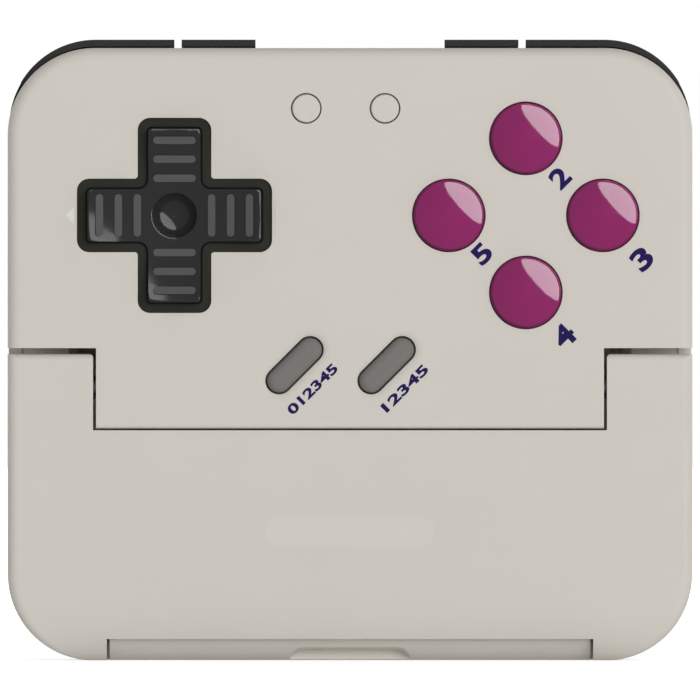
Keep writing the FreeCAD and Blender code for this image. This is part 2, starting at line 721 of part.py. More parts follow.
def dpad_dimple():
    """The bowl in the middle of the D-pad, with its rounded lip."""
    far = DIMPLE_RADIUS + DIMPLE_LIP
    face = DPAD_MIDDLE - DPAD_HOLLOW * (2 * far / DPAD_LENGTH) ** 2
    rim = face + DIMPLE_LIP
    front = face - WALL
    slant = DIMPLE_LIP * math.sin(math.pi / 4)
    ball_radius = (DIMPLE_RADIUS ** 2 + DIMPLE_DEPTH ** 2) / (2 * DIMPLE_DEPTH)
    ball_middle = rim + DIMPLE_DEPTH - ball_radius
    half_turn = math.asin(DIMPLE_RADIUS / ball_radius) / 2
    low = V(ball_radius * math.sin(half_turn), ball_middle + ball_radius * math.cos(half_turn), 0)
    edges = [
        Part.makeLine(V(0, front, 0), V(far, front, 0)),
        Part.makeLine(V(far, front, 0), V(far, face, 0)),
        Part.Arc(V(far, face, 0), V(far - slant, rim - slant, 0), V(DIMPLE_RADIUS, rim, 0)).toShape(),
        Part.Arc(V(DIMPLE_RADIUS, rim, 0), low, V(0, rim + DIMPLE_DEPTH, 0)).toShape(),
        Part.makeLine(V(0, rim + DIMPLE_DEPTH, 0), V(0, front, 0)),
    ]
    bowl = Part.Face(Part.Wire(edges)).revolve(V(0, 0, 0), BACKWARD, 360)
    bowl.translate(V(DPAD_X, 0, CONTROLS_HEIGHT))
    return bowl


def dpad_key():
    """The dished plus-shaped key with its dimple, bar grooves, flange and pivot pocket."""
    key = slab(cross(DPAD_X, CONTROLS_HEIGHT, DPAD_LENGTH, DPAD_ARM, DPAD_CONVEX,
                     DPAD_CONCAVE), -DPAD_RISE, DPAD_BACK)
    key = key.makeFillet(DPAD_EDGE, edges_at_depth(key, -DPAD_RISE))
    grow = 2 * DPAD_FLANGE_MARGIN
    flange = slab(cross(DPAD_X, CONTROLS_HEIGHT, DPAD_LENGTH + grow, DPAD_ARM + grow,
                        DPAD_CONVEX, DPAD_CONCAVE), DPAD_FLANGE_FRONT, DPAD_BACK)
    key = joined([key, flange])
    cuts = [dpad_hollow(0), dpad_dimple()]
    cuts.append(rod_back(DPAD_X, CONTROLS_HEIGHT, PIVOT_POCKET_RADIUS,
                         DPAD_BACK - PIVOT_POCKET_DEPTH, DPAD_BACK))
    return key.cut(cuts + grip_bars())


def dpad_pivot():
    """The round rocker stub that the D-pad key tilts on."""
    front = DPAD_BACK - PIVOT_POCKET_DEPTH + PIVOT_GAP
    stub = rod_back(DPAD_X, CONTROLS_HEIGHT, PIVOT_RADIUS, front, MEMBRANE_FRONT - PIVOT_GAP)
    return stub.makeFillet(PIVOT_NOSE, edges_at_depth(stub, front))


def membrane_base(shape):
    """Keeps a silicone sheet clear of the post in the middle of the head."""
    return shape.cut(rod_back(0, CONTROLS_HEIGHT, POST_RADIUS + BOARD_MARGIN, 0, HEAD_SPLIT))


def dpad_membrane():
    """The silicone sheet under the D-pad, with a dome under each arm."""
    sheet = rod_back(DPAD_X, CONTROLS_HEIGHT, DPAD_MEMBRANE_RADIUS, MEMBRANE_FRONT, BOARD_FRONT)
    pieces = [membrane_base(sheet)]
    for step in range(4):
        turn = step * math.pi / 2
        x = DPAD_X + DPAD_DOME_OFFSET * math.cos(turn)
        z = CONTROLS_HEIGHT + DPAD_DOME_OFFSET * math.sin(turn)
        pieces.append(rod_back(x, z, DPAD_DOME_RADIUS, DPAD_BACK + PIVOT_GAP, MEMBRANE_FRONT))
    return joined(pieces)


def face_button(x, z):
    """A round button: a dome on a sunk shelf, a flange behind the casing and a stem."""
    radius = FACE_HOLE_RADIUS - FACE_GAP
    collar = rod_back(x, z, radius, CAP_SHELF, KEY_FLANGE_BACK)
    collar = collar.makeFillet(CAP_EDGE, edges_at_depth(collar, CAP_SHELF))
    cap = rod_back(x, z, DOME_RADIUS, -CAP_RISE, CAP_SHELF)
    flange = rod_back(x, z, radius + FACE_FLANGE_MARGIN, KEY_FLANGE_FRONT, KEY_FLANGE_BACK)
    stem = rod_back(x, z, FACE_STEM_RADIUS, KEY_FLANGE_BACK, FACE_STEM_BACK)
    top = dome(x, z, DOME_RADIUS, DOME_HEIGHT, -CAP_RISE)
    return joined([collar, cap, top, flange, stem])


def face_membrane():
    """The silicone sheet under the round buttons, with a dome under each."""
    sheet = rod_back(FACE_X, CONTROLS_HEIGHT, FACE_MEMBRANE_RADIUS, MEMBRANE_FRONT, BOARD_FRONT)
    pieces = [membrane_base(sheet)]
    for x, z in face_places().values():
        pieces.append(rod_back(x, z, FACE_DOME_RADIUS, FACE_STEM_BACK + PIVOT_GAP, MEMBRANE_FRONT))
    return joined(pieces)


def pill_key(x):
    """A slanted pill-shaped key with a flange and a stem."""
    length = PILL_LENGTH - 2 * PILL_GAP
    width = PILL_WIDTH - 2 * PILL_GAP
    key = slab(capsule(x, PILL_HEIGHT, length, width, PILL_ANGLE), -PILL_RISE, KEY_FLANGE_BACK)
    key = key.makeFillet(PILL_EDGE, edges_at_depth(key, -PILL_RISE))
    grow = 2 * KEY_FLANGE_MARGIN
    flange = slab(capsule(x, PILL_HEIGHT, length + grow, width + grow, PILL_ANGLE),
                  KEY_FLANGE_FRONT, KEY_FLANGE_BACK)
    stem = slab(capsule(x, PILL_HEIGHT, length - grow, width, PILL_ANGLE),
                KEY_FLANGE_BACK, PILL_STEM_BACK)
    return joined([key, flange, stem])


def pill_membrane():
    """The silicone sheet under the pill keys, with a dome under each."""
    half = BOARD_TAB_HALF_WIDTH - BOARD_MARGIN
    low = WELL_FLOOR + 2 * BOARD_MARGIN
    high = HEAD_FOOT + WALL
    pieces = [block((-half, MEMBRANE_FRONT, low), (half, BOARD_FRONT, high))]
    for x in PILL_PLACES:
        pieces.append(rod_back(x, PILL_HEIGHT, PILL_DOME_RADIUS, PILL_STEM_BACK + PIVOT_GAP,
                               MEMBRANE_FRONT))
    return joined(pieces)


def function_key(x):
    """A small round key with a flange and a thin stem down to its switch."""
    radius = FUNCTION_HOLE_RADIUS - FUNCTION_GAP
    cap = rod_back(x, FUNCTION_HEIGHT, radius, -FUNCTION_RISE, KEY_FLANGE_BACK)
    cap = cap.makeFillet(KEY_EDGE, edges_at_depth(cap, -FUNCTION_RISE))
    flange = rod_back(x, FUNCTION_HEIGHT, radius + KEY_FLANGE_MARGIN, KEY_FLANGE_FRONT, KEY_FLANGE_BACK)
    stem_back = BOARD_FRONT - SWITCH_BODY - SWITCH_PLUNGER - PIVOT_GAP
    stem = rod_back(x, FUNCTION_HEIGHT, FUNCTION_STEM_RADIUS, KEY_FLANGE_BACK, stem_back)
    return joined([cap, flange, stem])


def tact_switches():
    """Two small switches on the board, under the function keys."""
    switches = []
    for x in FUNCTION_PLACES:
        half_wide = SWITCH_WIDTH / 2
        half_tall = SWITCH_LENGTH / 2
        front = BOARD_FRONT - SWITCH_BODY
        body = block((x - half_wide, front, FUNCTION_HEIGHT - half_tall),
                     (x + half_wide, BOARD_FRONT, FUNCTION_HEIGHT + half_tall))
        plunger = rod_back(x, FUNCTION_HEIGHT, SWITCH_PLUNGER_RADIUS, front - SWITCH_PLUNGER, front)
        switches.append(joined([body, plunger]))
    return switches


def main_board():
    """The circuit board: a plate with a tab down the tongue and one to the socket."""
    low = HEAD_FOOT + WALL + BOARD_MARGIN
    high = HEAD_TOP - WALL - BOARD_MARGIN
    plate = slab(rectangle(-BOARD_HALF_WIDTH, BOARD_HALF_WIDTH, low, high, BOARD_MARGIN),
                 BOARD_FRONT, BOARD_BACK)
    tab = block((-BOARD_TAB_HALF_WIDTH, BOARD_FRONT, WELL_FLOOR + BOARD_MARGIN),
                (BOARD_TAB_HALF_WIDTH, BOARD_BACK, low + WALL))
    socket_tab = block((BOARD_HALF_WIDTH - WALL, BOARD_FRONT, PORT_HEIGHT - PORT_WIDTH / 2),
                       (HALF_WIDTH - WALL - BOARD_MARGIN, BOARD_BACK, PORT_HEIGHT + PORT_WIDTH / 2))
    inside = slab(head_corners(WALL + BOARD_MARGIN), 0, HEAD_DEPTH)
    return joined([plate.common(inside), tab, socket_tab])


def board_chips():
    """The chips on the board: x, height above the controls, width, tallness, thickness."""
    chips = []
    for x, above, width, tall, thickness in CHIPS:
        z = CONTROLS_HEIGHT + above
        chips.append(block((x - width / 2, BOARD_BACK, z - tall / 2),
                           (x + width / 2, BOARD_BACK + thickness, z + tall / 2)))
    return chips


def charge_port():
    """The charging socket: a metal shell with a tongue inside."""
    right = HALF_WIDTH - PORT_RECESS
    left = right - PORT_LENGTH
    shell = port_capsule(0, left, right)
    shell = shell.cut(port_capsule(-PORT_WALL, left + WALL, right))
    middle = port_middle()
    half = PORT_CONTACT_WIDTH / 2
    contact = block((left + PORT_WALL, middle - PORT_WALL, PORT_HEIGHT - half),
                    (right - PORT_RECESS, middle + PORT_WALL, PORT_HEIGHT + half))
    return joined([shell, contact])


# Lower cover

def cover_profile():
    """Side profile of the lower cover at its ends: ear, front, toe and knuckle."""
    centre = V(0, TOE_DEPTH, TOE_HEIGHT)
    lowest = centre - V(0, 0, TOE_HEIGHT + BASE_TRIM)
    toe_curve = Part.Ellipse(centre * 2 - lowest, centre - V(0, TOE_DEPTH, 0), centre)
    toe = toe_curve.toShape(math.pi / 2, math.pi)
    rise = math.sqrt(BARREL_RADIUS ** 2 - (COVER_DEPTH - BOTTOM_AXIS_DEPTH) ** 2)
    knuckle_top = BARREL_RADIUS + rise
    ear_back = MID_AXIS_DEPTH + EAR_RADIUS
    slant = EAR_RADIUS * math.sin(math.pi / 4)
    return [
        toe,
        line((TOE_DEPTH, -BASE_TRIM), (BOTTOM_AXIS_DEPTH, -BASE_TRIM)),
        line((BOTTOM_AXIS_DEPTH, -BASE_TRIM), (BOTTOM_AXIS_DEPTH, 0)),
        arc((BOTTOM_AXIS_DEPTH, 0), (BOTTOM_AXIS_DEPTH + BARREL_RADIUS, BARREL_RADIUS),
            (COVER_DEPTH, knuckle_top)),
        line((COVER_DEPTH, knuckle_top), (COVER_DEPTH, COVER_SHOULDER_HEIGHT)),
        line((COVER_DEPTH, COVER_SHOULDER_HEIGHT), (ear_back, MID_AXIS_HEIGHT)),
        arc((ear_back, MID_AXIS_HEIGHT), (MID_AXIS_DEPTH + slant, MID_AXIS_HEIGHT + slant),
            (MID_AXIS_DEPTH, EAR_TOP)),
        line((MID_AXIS_DEPTH, EAR_TOP), (0, EAR_TOP)),
        line((0, EAR_TOP), (0, TOE_HEIGHT)),
    ]


def ear_edge_waste():
    """What is cut away to round the ears' upper front edge."""
    corner = block((-HALF_WIDTH, 0, EAR_TOP - EAR_EDGE), (HALF_WIDTH, EAR_EDGE, EAR_TOP))
    return corner.cut(rod_across(-HALF_WIDTH, HALF_WIDTH, EAR_EDGE, EAR_TOP - EAR_EDGE, EAR_EDGE))


def ear_corner_waste():
    """What is cut away to round the ears' upper corners beside the tongue."""
    middle = EAR_INNER + EAR_CORNER
    corner = block((EAR_INNER, -WALL, EAR_TOP - EAR_CORNER), (middle, COVER_DEPTH, EAR_TOP))
    rod = rod_back(middle, EAR_TOP - EAR_CORNER, EAR_CORNER, -WALL, COVER_DEPTH)
    return both_sides(corner.cut(rod))


def cover_panel_corners(inset):
    """Outline of the opening that the inner panel closes, drawn in by an inset."""
    low = 2 * BARREL_RADIUS + HINGE_ROUND_GAP + PANEL_LEDGE + inset
    high = COVER_TOP - PANEL_LEDGE - inset
    half = HALF_WIDTH - PANEL_MARGIN + PANEL_LEDGE - inset
    return rectangle(-half, half, low, high, PANEL_CORNER - inset)


def panel_screw_places():
    """Where the inner panel's screws go."""
    middle = (2 * BARREL_RADIUS + HINGE_ROUND_GAP + COVER_TOP) / 2
    return [(side * PANEL_SCREW_X, middle) for side in (-1, 1)]


def lower_cover_shell():
    """The lower cover's casing: front wall, toe, knuckles and ears."""
    ends = across(cover_profile(), -HALF_WIDTH, HALF_WIDTH)
    front_view = [(-HALF_WIDTH, -BASE_TRIM, CORNER_RADIUS), (-HALF_WIDTH, EAR_TOP, 0),
                  (HALF_WIDTH, EAR_TOP, 0), (HALF_WIDTH, -BASE_TRIM, CORNER_RADIUS)]
    shell = ends.common(slab(front_view, -WALL, BOTTOM_AXIS_DEPTH + 2 * BARREL_RADIUS))
    rim = [edge for edge in shell.Edges if is_cover_rim(edge)]
    shell = shell.makeFillet(TOE_EDGE, rim)
    bay = block((-EAR_INNER, -WALL, COVER_TOP), (EAR_INNER, 2 * COVER_DEPTH, HEAD_TOP))
    saddle = rod_across(-EAR_INNER, EAR_INNER, MID_AXIS_DEPTH, MID_AXIS_HEIGHT,
                        TONGUE_RADIUS + HINGE_ROUND_GAP)
    barrel_room = rod_across(-KNUCKLE_INNER, KNUCKLE_INNER, BOTTOM_AXIS_DEPTH, BARREL_RADIUS,
                             BARREL_RADIUS + HINGE_ROUND_GAP)
    under_lip = block((-KNUCKLE_INNER, -WALL, -WALL),
                      (KNUCKLE_INNER, BOTTOM_AXIS_DEPTH + 2 * BARREL_RADIUS, LIP_HEIGHT))
    below_base = block((-HALF_WIDTH, -WALL, -WALL),
                       (HALF_WIDTH, BOTTOM_AXIS_DEPTH + 2 * BARREL_RADIUS, 0))
    ledge_back = COVER_DEPTH - PANEL_THICKNESS
    cavity = slab(cover_panel_corners(PANEL_LEDGE), COVER_CAVITY_FRONT, COVER_DEPTH)
    seat = slab(cover_panel_corners(0), ledge_back, COVER_DEPTH)
    shell = shell.cut([bay, saddle, barrel_room, under_lip, below_base, cavity, seat,
                       plaque_room(), ear_edge_waste()] + ear_corner_waste())
    bosses = [rod_back(x, z, BOSS_RADIUS, COVER_CAVITY_FRONT, ledge_back)
              for x, z in panel_screw_places()]
    shell = joined([shell] + bosses)
    cuts = [rod_back(x, z, SCREW_RADIUS, COVER_CAVITY_FRONT + PANEL_LEDGE, ledge_back)
            for x, z in panel_screw_places()]
    return shell.cut(cuts + cover_pin_bores())


def is_cover_rim(edge):
    """True for an edge where the cover's side wall meets its front or toe."""
    middle = edge.valueAt((edge.FirstParameter + edge.LastParameter) / 2)
    bounds = edge.BoundBox
    if bounds.YMax > TOE_DEPTH + SAME_PLACE:
        return False
    on_side = abs(abs(middle.x) - HALF_WIDTH) < SAME_PLACE
    beside_flat = abs(middle.x) > HALF_WIDTH - CORNER_RADIUS + NEARBY
    in_corner = beside_flat and middle.z < CORNER_RADIUS
    upright = bounds.ZLength > NEARBY
    return upright and (on_side or in_corner)


def cover_pin_bores():
    """Press-fit bores for the hinge pins in the ears and in the knuckles."""
    ear = rod_across(EAR_INNER, EAR_INNER + PIN_IN_COVER, MID_AXIS_DEPTH, MID_AXIS_HEIGHT, PIN_RADIUS)
    knuckle = rod_across(KNUCKLE_INNER, KNUCKLE_INNER + PIN_IN_COVER, BOTTOM_AXIS_DEPTH,
                         BARREL_RADIUS, PIN_RADIUS)
    return both_sides(ear) + both_sides(knuckle)


def plaque_room():
    """The recess for the plaque in the cover's front wall."""
    return slab(capsule(0, PLAQUE_HEIGHT, PLAQUE_WIDTH, PLAQUE_TALL, 0), -WALL,
                PLAQUE_SUNK + PLAQUE_THICKNESS)


def plaque():
    """The blank plaque, set almost level with the cover's front."""
    return slab(capsule(0, PLAQUE_HEIGHT, PLAQUE_WIDTH, PLAQUE_TALL, 0), PLAQUE_SUNK,
                PLAQUE_SUNK + PLAQUE_THICKNESS)


def lower_cover_inner():
    """The panel that closes the lower cover behind."""
    panel = slab(cover_panel_corners(PANEL_CLEARANCE), COVER_DEPTH - PANEL_THICKNESS, COVER_DEPTH)
    cuts = [screw_hole(x, z, COVER_DEPTH - SCREW_SUNK, COVER_DEPTH + WALL,
                       COVER_DEPTH - PANEL_THICKNESS) for x, z in panel_screw_places()]
    return panel.cut(cuts)


def cover_screws():
    """Two screws that hold the inner panel."""
    tip = COVER_CAVITY_FRONT + PANEL_LEDGE
    return [screw(x, z, COVER_DEPTH - SCREW_SUNK, tip) for x, z in panel_screw_places()]


def phone_rest_pad():
    """The rubber strip that the phone's lower edge stands on when the jaws are open."""
    half = HALF_WIDTH - REST_PAD_SIDE_MARGIN
    low = COVER_SHOULDER_HEIGHT - REST_PAD_TALL
    return slab(rectangle(-half, half, low, COVER_SHOULDER_HEIGHT, PAD_THICKNESS),
                COVER_DEPTH, COVER_DEPTH + REST_PAD_THICKNESS)


def mid_hinge_pins():
    """Two short pins, pressed into the ears and turning in the tongue."""
    pin = rod_across(TONGUE_HALF_WIDTH - PIN_IN_TONGUE + HINGE_ROUND_GAP, EAR_INNER + PIN_IN_COVER,
                     MID_AXIS_DEPTH, MID_AXIS_HEIGHT, PIN_RADIUS)
    return both_sides(pin)


def bottom_hinge_pins():
    """Two short pins, pressed into the knuckles and turning in the barrel."""
    pin = rod_across(BARREL_HALF_LENGTH - PIN_IN_BARREL + HINGE_ROUND_GAP,
                     KNUCKLE_INNER + PIN_IN_COVER, BOTTOM_AXIS_DEPTH, BARREL_RADIUS, PIN_RADIUS)
    return both_sides(pin)


def mid_hinge_springs():
    """Torsion springs round the middle hinge's pins."""
    start = TONGUE_HALF_WIDTH - SPRING_POCKET_DEPTH + SPRING_WIRE_RADIUS
    return both_sides(coil(start, MID_AXIS_DEPTH, MID_AXIS_HEIGHT))


def bottom_hinge_springs():
    """Torsion springs round the bottom hinge's pins."""
    start = BARREL_HALF_LENGTH - SPRING_POCKET_DEPTH + SPRING_WIRE_RADIUS
    return both_sides(coil(start, BOTTOM_AXIS_DEPTH, BARREL_RADIUS))


# Rear clamp

def clamp_corners(inset):
    """The clamp's outline, drawn in by an inset."""
    half = HALF_WIDTH - inset
    return rectangle(-half, half, inset, CLAMP_TOP - inset, CORNER_RADIUS - inset)


def clamp_rear_corners(inset):
    """The rear casing's outline, which leaves the shoulder keys' bays open."""
    half = HALF_WIDTH - inset
    radius = CORNER_RADIUS - inset
    bay = KEY_BAY_HALF_WIDTH - inset
    shelf = KEY_BAY_FOOT - inset
    top = CLAMP_TOP - inset
    return [(-half, inset, radius), (-half, shelf, 0), (-bay, shelf, 0), (-bay, top, 0),
            (bay, top, 0), (bay, shelf, 0), (half, shelf, 0), (half, inset, radius)]


def clamp_boss_places():
    """Where the clamp's screws go."""
    x = HALF_WIDTH - CLAMP_BOSS_INSET
    heights = (CLAMP_BOSS_LOW, SHOULDER_FOOT - CLAMP_BOSS_TOP_MARGIN)
    return [(side * x, z) for side in (-1, 1) for z in heights]


def barrel_screw_places():
    """Where the barrel's screws go."""
    return [(side * BARREL_SCREW_X, BARREL_RADIUS) for side in (-1, 1)]


def clamp_front_shell():
    """The clamp's front casing: jaw plate, rim and the heel that seats the barrel."""
    shell = slab(clamp_corners(0), CLAMP_FRONT, CLAMP_JOIN)
    inner = [(x, max(z, HEEL_HEIGHT), r) for x, z, r in clamp_corners(WALL)]
    inner = [(x, z, 0 if z == HEEL_HEIGHT else r) for x, z, r in inner]
    shell = shell.cut(slab(inner, CLAMP_FRONT + REAR_WALL, CLAMP_JOIN))
    bosses = [rod_back(x, z, BOSS_RADIUS, CLAMP_FRONT + REAR_WALL, CLAMP_JOIN)
              for x, z in clamp_boss_places()]
    shell = joined([shell] + bosses)
    seat = rod_across(-BARREL_HALF_LENGTH, BARREL_HALF_LENGTH, BOTTOM_AXIS_DEPTH, BARREL_RADIUS,
                      BARREL_RADIUS)
    knuckle_room = rod_across(BARREL_HALF_LENGTH, HALF_WIDTH + WALL, BOTTOM_AXIS_DEPTH, BARREL_RADIUS,
                              BARREL_RADIUS + HINGE_ROUND_GAP)
    cuts = [seat, jaw_seam()] + jaw_steps() + both_sides(knuckle_room)
    cuts += [rod_back(x, z, SCREW_RADIUS, CLAMP_FRONT + REAR_WALL, CLAMP_JOIN)
             for x, z in clamp_boss_places()]
    cuts += [screw_hole(x, z, CLAMP_JOIN - SCREW_SUNK, CLAMP_JOIN + WALL, CLAMP_FRONT)
             for x, z in barrel_screw_places()]
    return shell.cut(cuts)


def jaw_seam():
    """The fine groove round the jaw plate's face, above the heel."""
    back = CLAMP_FRONT + JAW_SEAM_DEPTH
    ring = slab(clamp_corners(JAW_SEAM_INSET), CLAMP_FRONT, back)
    ring = ring.cut(slab(clamp_corners(JAW_SEAM_INSET + JAW_SEAM_WIDTH), CLAMP_FRONT, back))
    return ring.common(block((-HALF_WIDTH, CLAMP_FRONT, HEEL_HEIGHT), (HALF_WIDTH, back, CLAMP_TOP)))


def jaw_steps():
    """Shallow steps in the jaw plate's edge, in front of the shoulder keys' lips."""
    back = CLAMP_FRONT + OVERHANG_FRONT_MARGIN
    ring = slab(clamp_corners(0), CLAMP_FRONT, back)
    ring = ring.cut(slab(clamp_corners(JAW_STEP), CLAMP_FRONT, back))
    low = CLAMP_TOP - OVERHANG_DROP
    return [ring.common(block((left, CLAMP_FRONT, low), (right, back, CLAMP_TOP)))
            for left, right in shoulder_key_spans().values()]


def is_below_key_bays(x, z):
    """True for an edge of the rear casing below the shoulder keys' bays."""
    return z < KEY_BAY_FOOT - NEARBY


def clamp_rear_shell():
    """The clamp's rear casing, open at the top corners for the shoulder keys."""
    shell = slab(clamp_rear_corners(0), CLAMP_JOIN, CLAMP_BACK)
    rim = edges_at_depth(shell, CLAMP_BACK, is_below_key_bays)
    shell = shell.makeFillet(CLAMP_EDGE, rim)
    shell = shell.cut(slab(clamp_rear_corners(WALL), CLAMP_JOIN, CLAMP_BACK - REAR_WALL))
    inside = slab(clamp_rear_corners(WALL / 2), CLAMP_JOIN, CLAMP_BACK - REAR_WALL / 2)
    pillars = [rod_back(x, z, BOSS_RADIUS, CLAMP_JOIN, CLAMP_BACK).common(inside)
               for x, z in clamp_boss_places()]
    shell = joined([shell] + pillars)
    cuts = [screw_hole(x, z, CLAMP_BACK - SCREW_SUNK, CLAMP_BACK + WALL, CLAMP_JOIN)
            for x, z in clamp_boss_places()]
    return shell.cut(cuts)


def notch_outline(half_width, tall, depth):
    """The thumb notch's outline at one depth, which runs out below the base."""
    return outline(rectangle(-half_width, half_width, -2 * NOTCH_CORNER, tall, NOTCH_CORNER), depth)


def clamp_barrel():
    """The hinge barrel along the clamp's foot, with a thumb notch in its front."""
    barrel = rod_across(-BARREL_HALF_LENGTH, BARREL_HALF_LENGTH, BOTTOM_AXIS_DEPTH, BARREL_RADIUS,
                        BARREL_RADIUS)
    notch = Part.makeLoft([notch_outline(NOTCH_FRONT_HALF_WIDTH, NOTCH_FRONT_TALL, 0),
                           notch_outline(NOTCH_BACK_HALF_WIDTH, NOTCH_BACK_TALL, NOTCH_BACK)],
                          True, True)
    bore = rod_across(BARREL_HALF_LENGTH - PIN_IN_BARREL, BARREL_HALF_LENGTH, BOTTOM_AXIS_DEPTH,
                      BARREL_RADIUS, PIN_RADIUS + PIN_CLEARANCE)
    pocket = rod_across(BARREL_HALF_LENGTH - SPRING_POCKET_DEPTH, BARREL_HALF_LENGTH,
                        BOTTOM_AXIS_DEPTH, BARREL_RADIUS, SPRING_POCKET_RADIUS)
    cuts = [notch] + both_sides(bore) + both_sides(pocket)
    cuts += [rod_back(x, z, SCREW_RADIUS, BOTTOM_AXIS_DEPTH + BARREL_RADIUS - BARREL_SCREW_DEPTH,
                      CLAMP_JOIN) for x, z in barrel_screw_places()]
    return barrel.cut(cuts)


def barrel_screws():
    """Two screws that hold the barrel to the clamp's heel."""
    tip = BOTTOM_AXIS_DEPTH + BARREL_RADIUS - BARREL_SCREW_DEPTH
    return [screw(x, z, CLAMP_JOIN - SCREW_SUNK, tip) for x, z in barrel_screw_places()]


def clamp_screws():
    """Four screws that hold the clamp's casings together."""
    tip = CLAMP_FRONT + REAR_WALL
    return [screw(x, z, CLAMP_BACK - SCREW_SUNK, tip) for x, z in clamp_boss_places()]


def clamp_pad():
    """The rubber pad on the clamp's jaw, which the phone's back leans on."""
    low = COVER_TOP + PAD_MARGIN
    high = CLAMP_TOP - PAD_MARGIN
    return slab(rectangle(-PAD_HALF_WIDTH, PAD_HALF_WIDTH, low, high, PAD_CORNER),
                CLAMP_FRONT - PAD_THICKNESS, CLAMP_FRONT)


def battery():
    """A flat pouch cell stuck to the inside of the clamp's rear casing."""
    back = CLAMP_BACK - REAR_WALL
    return slab(rectangle(-BATTERY_WIDTH / 2, BATTERY_WIDTH / 2, BATTERY_FOOT,
                          SHOULDER_FOOT - BATTERY_TOP_MARGIN, BATTERY_CORNER),
                back - BATTERY_THICKNESS, back)


def shoulder_key_spans():
    """From left to right, where each shoulder key begins and ends."""
    inner_low, inner_high = INNER_KEY
    return {
        "left_outer": (-HALF_WIDTH, -OUTER_KEY_START),
        "left_inner": (-inner_high, -inner_low),
        "right_inner": (inner_low, inner_high),
        "right_outer": (OUTER_KEY_START, HALF_WIDTH),
    }


def key_middle(span):
    """The x of a shoulder key's stem, dome and hook."""
    return (span[0] + span[1]) / 2


def shoulder_key(span):
    """A shoulder key: hollow cap, lip over the clamp's top edge, stem and hook."""
    left, right = span
    top = CLAMP_TOP + SHOULDER_RISE
    outer = rectangle(-HALF_WIDTH, HALF_WIDTH, 0, top, CORNER_RADIUS)
    cap = slab(outer, SHOULDER_FRONT, SHOULDER_BACK)
    cap = cap.common(block((left, 0, SHOULDER_FOOT), (right, 2 * SHOULDER_BACK, 2 * top)))
    cap = cap.makeFillet(SHOULDER_EDGE, edges_at_depth(cap, SHOULDER_BACK))
    wall = SHOULDER_WALL
    inner = rectangle(-HALF_WIDTH + wall, HALF_WIDTH - wall, wall, top - wall, CORNER_RADIUS - wall)
    room = slab(inner, SHOULDER_FRONT, SHOULDER_BACK - wall)
    room = room.common(block((left + wall, 0, SHOULDER_FOOT + wall),
                             (right - wall, 2 * SHOULDER_BACK, 2 * top)))
    cap = cap.cut(room)
    return joined([cap, overhang(span, outer), key_stem(span), key_hook(span)])


def overhang(span, outer):
    """The key's lip that reaches forward over the clamp's top edge."""
    front = CLAMP_FRONT + OVERHANG_FRONT_MARGIN
    lip = slab(outer, front, SHOULDER_FRONT)
    grown = [(x + math.copysign(OVERHANG_GAP, x), z, radius + OVERHANG_GAP)
             for x, z, radius in rectangle(-HALF_WIDTH, HALF_WIDTH, 0, CLAMP_TOP + OVERHANG_GAP,
                                           CORNER_RADIUS)]
    lip = lip.cut(slab(grown, front, SHOULDER_FRONT))
    low = CLAMP_TOP - OVERHANG_DROP
    return lip.common(block((span[0], 0, low), (span[1], SHOULDER_BACK, 2 * CLAMP_TOP)))


def key_stem(span):
    """The rib inside a shoulder key that presses its dome."""
    x = key_middle(span)
    half = SHOULDER_STEM_HALF_WIDTH
    return block((x - half, CLAMP_JOIN + HOOK_GAP, SHOULDER_DOME_HEIGHT - half),
                 (x + half, SHOULDER_BACK - SHOULDER_WALL, SHOULDER_DOME_HEIGHT + half))


def key_hook(span):
    """The hook that keeps a shoulder key from falling out backwards."""
    x = key_middle(span)
    back = CLAMP_JOIN - HOOK_GAP
    front = back - HOOK_THICKNESS
    web = block((x - HOOK_HALF_WIDTH, front, SHOULDER_FOOT),
                (x + HOOK_HALF_WIDTH, SHOULDER_FRONT, SHOULDER_FOOT + SHOULDER_WALL))
    tip = block((x - HOOK_HALF_WIDTH, front, SHOULDER_FOOT - HOOK_DROP),
                (x + HOOK_HALF_WIDTH, back, SHOULDER_FOOT))
    return joined([web, tip])


def shoulder_board():
    """The narrow circuit board behind the clamp's jaw plate."""
    front = CLAMP_FRONT + REAR_WALL
    board = slab(clamp_corners(WALL + BOARD_MARGIN), front, SHOULDER_BOARD_BACK)
    low = SHOULDER_FOOT + SHOULDER_BOARD_MARGIN
    return board.common(block((-HALF_WIDTH, 0, low), (HALF_WIDTH, SHOULDER_BACK, CLAMP_TOP)))


def shoulder_domes():
    """Four silicone domes, one under each shoulder key's stem."""
    domes = []
    for span in shoulder_key_spans().values():
        domes.append(rod_back(key_middle(span), SHOULDER_DOME_HEIGHT, SHOULDER_DOME_RADIUS,
                              SHOULDER_BOARD_BACK, CLAMP_JOIN))
    return domes


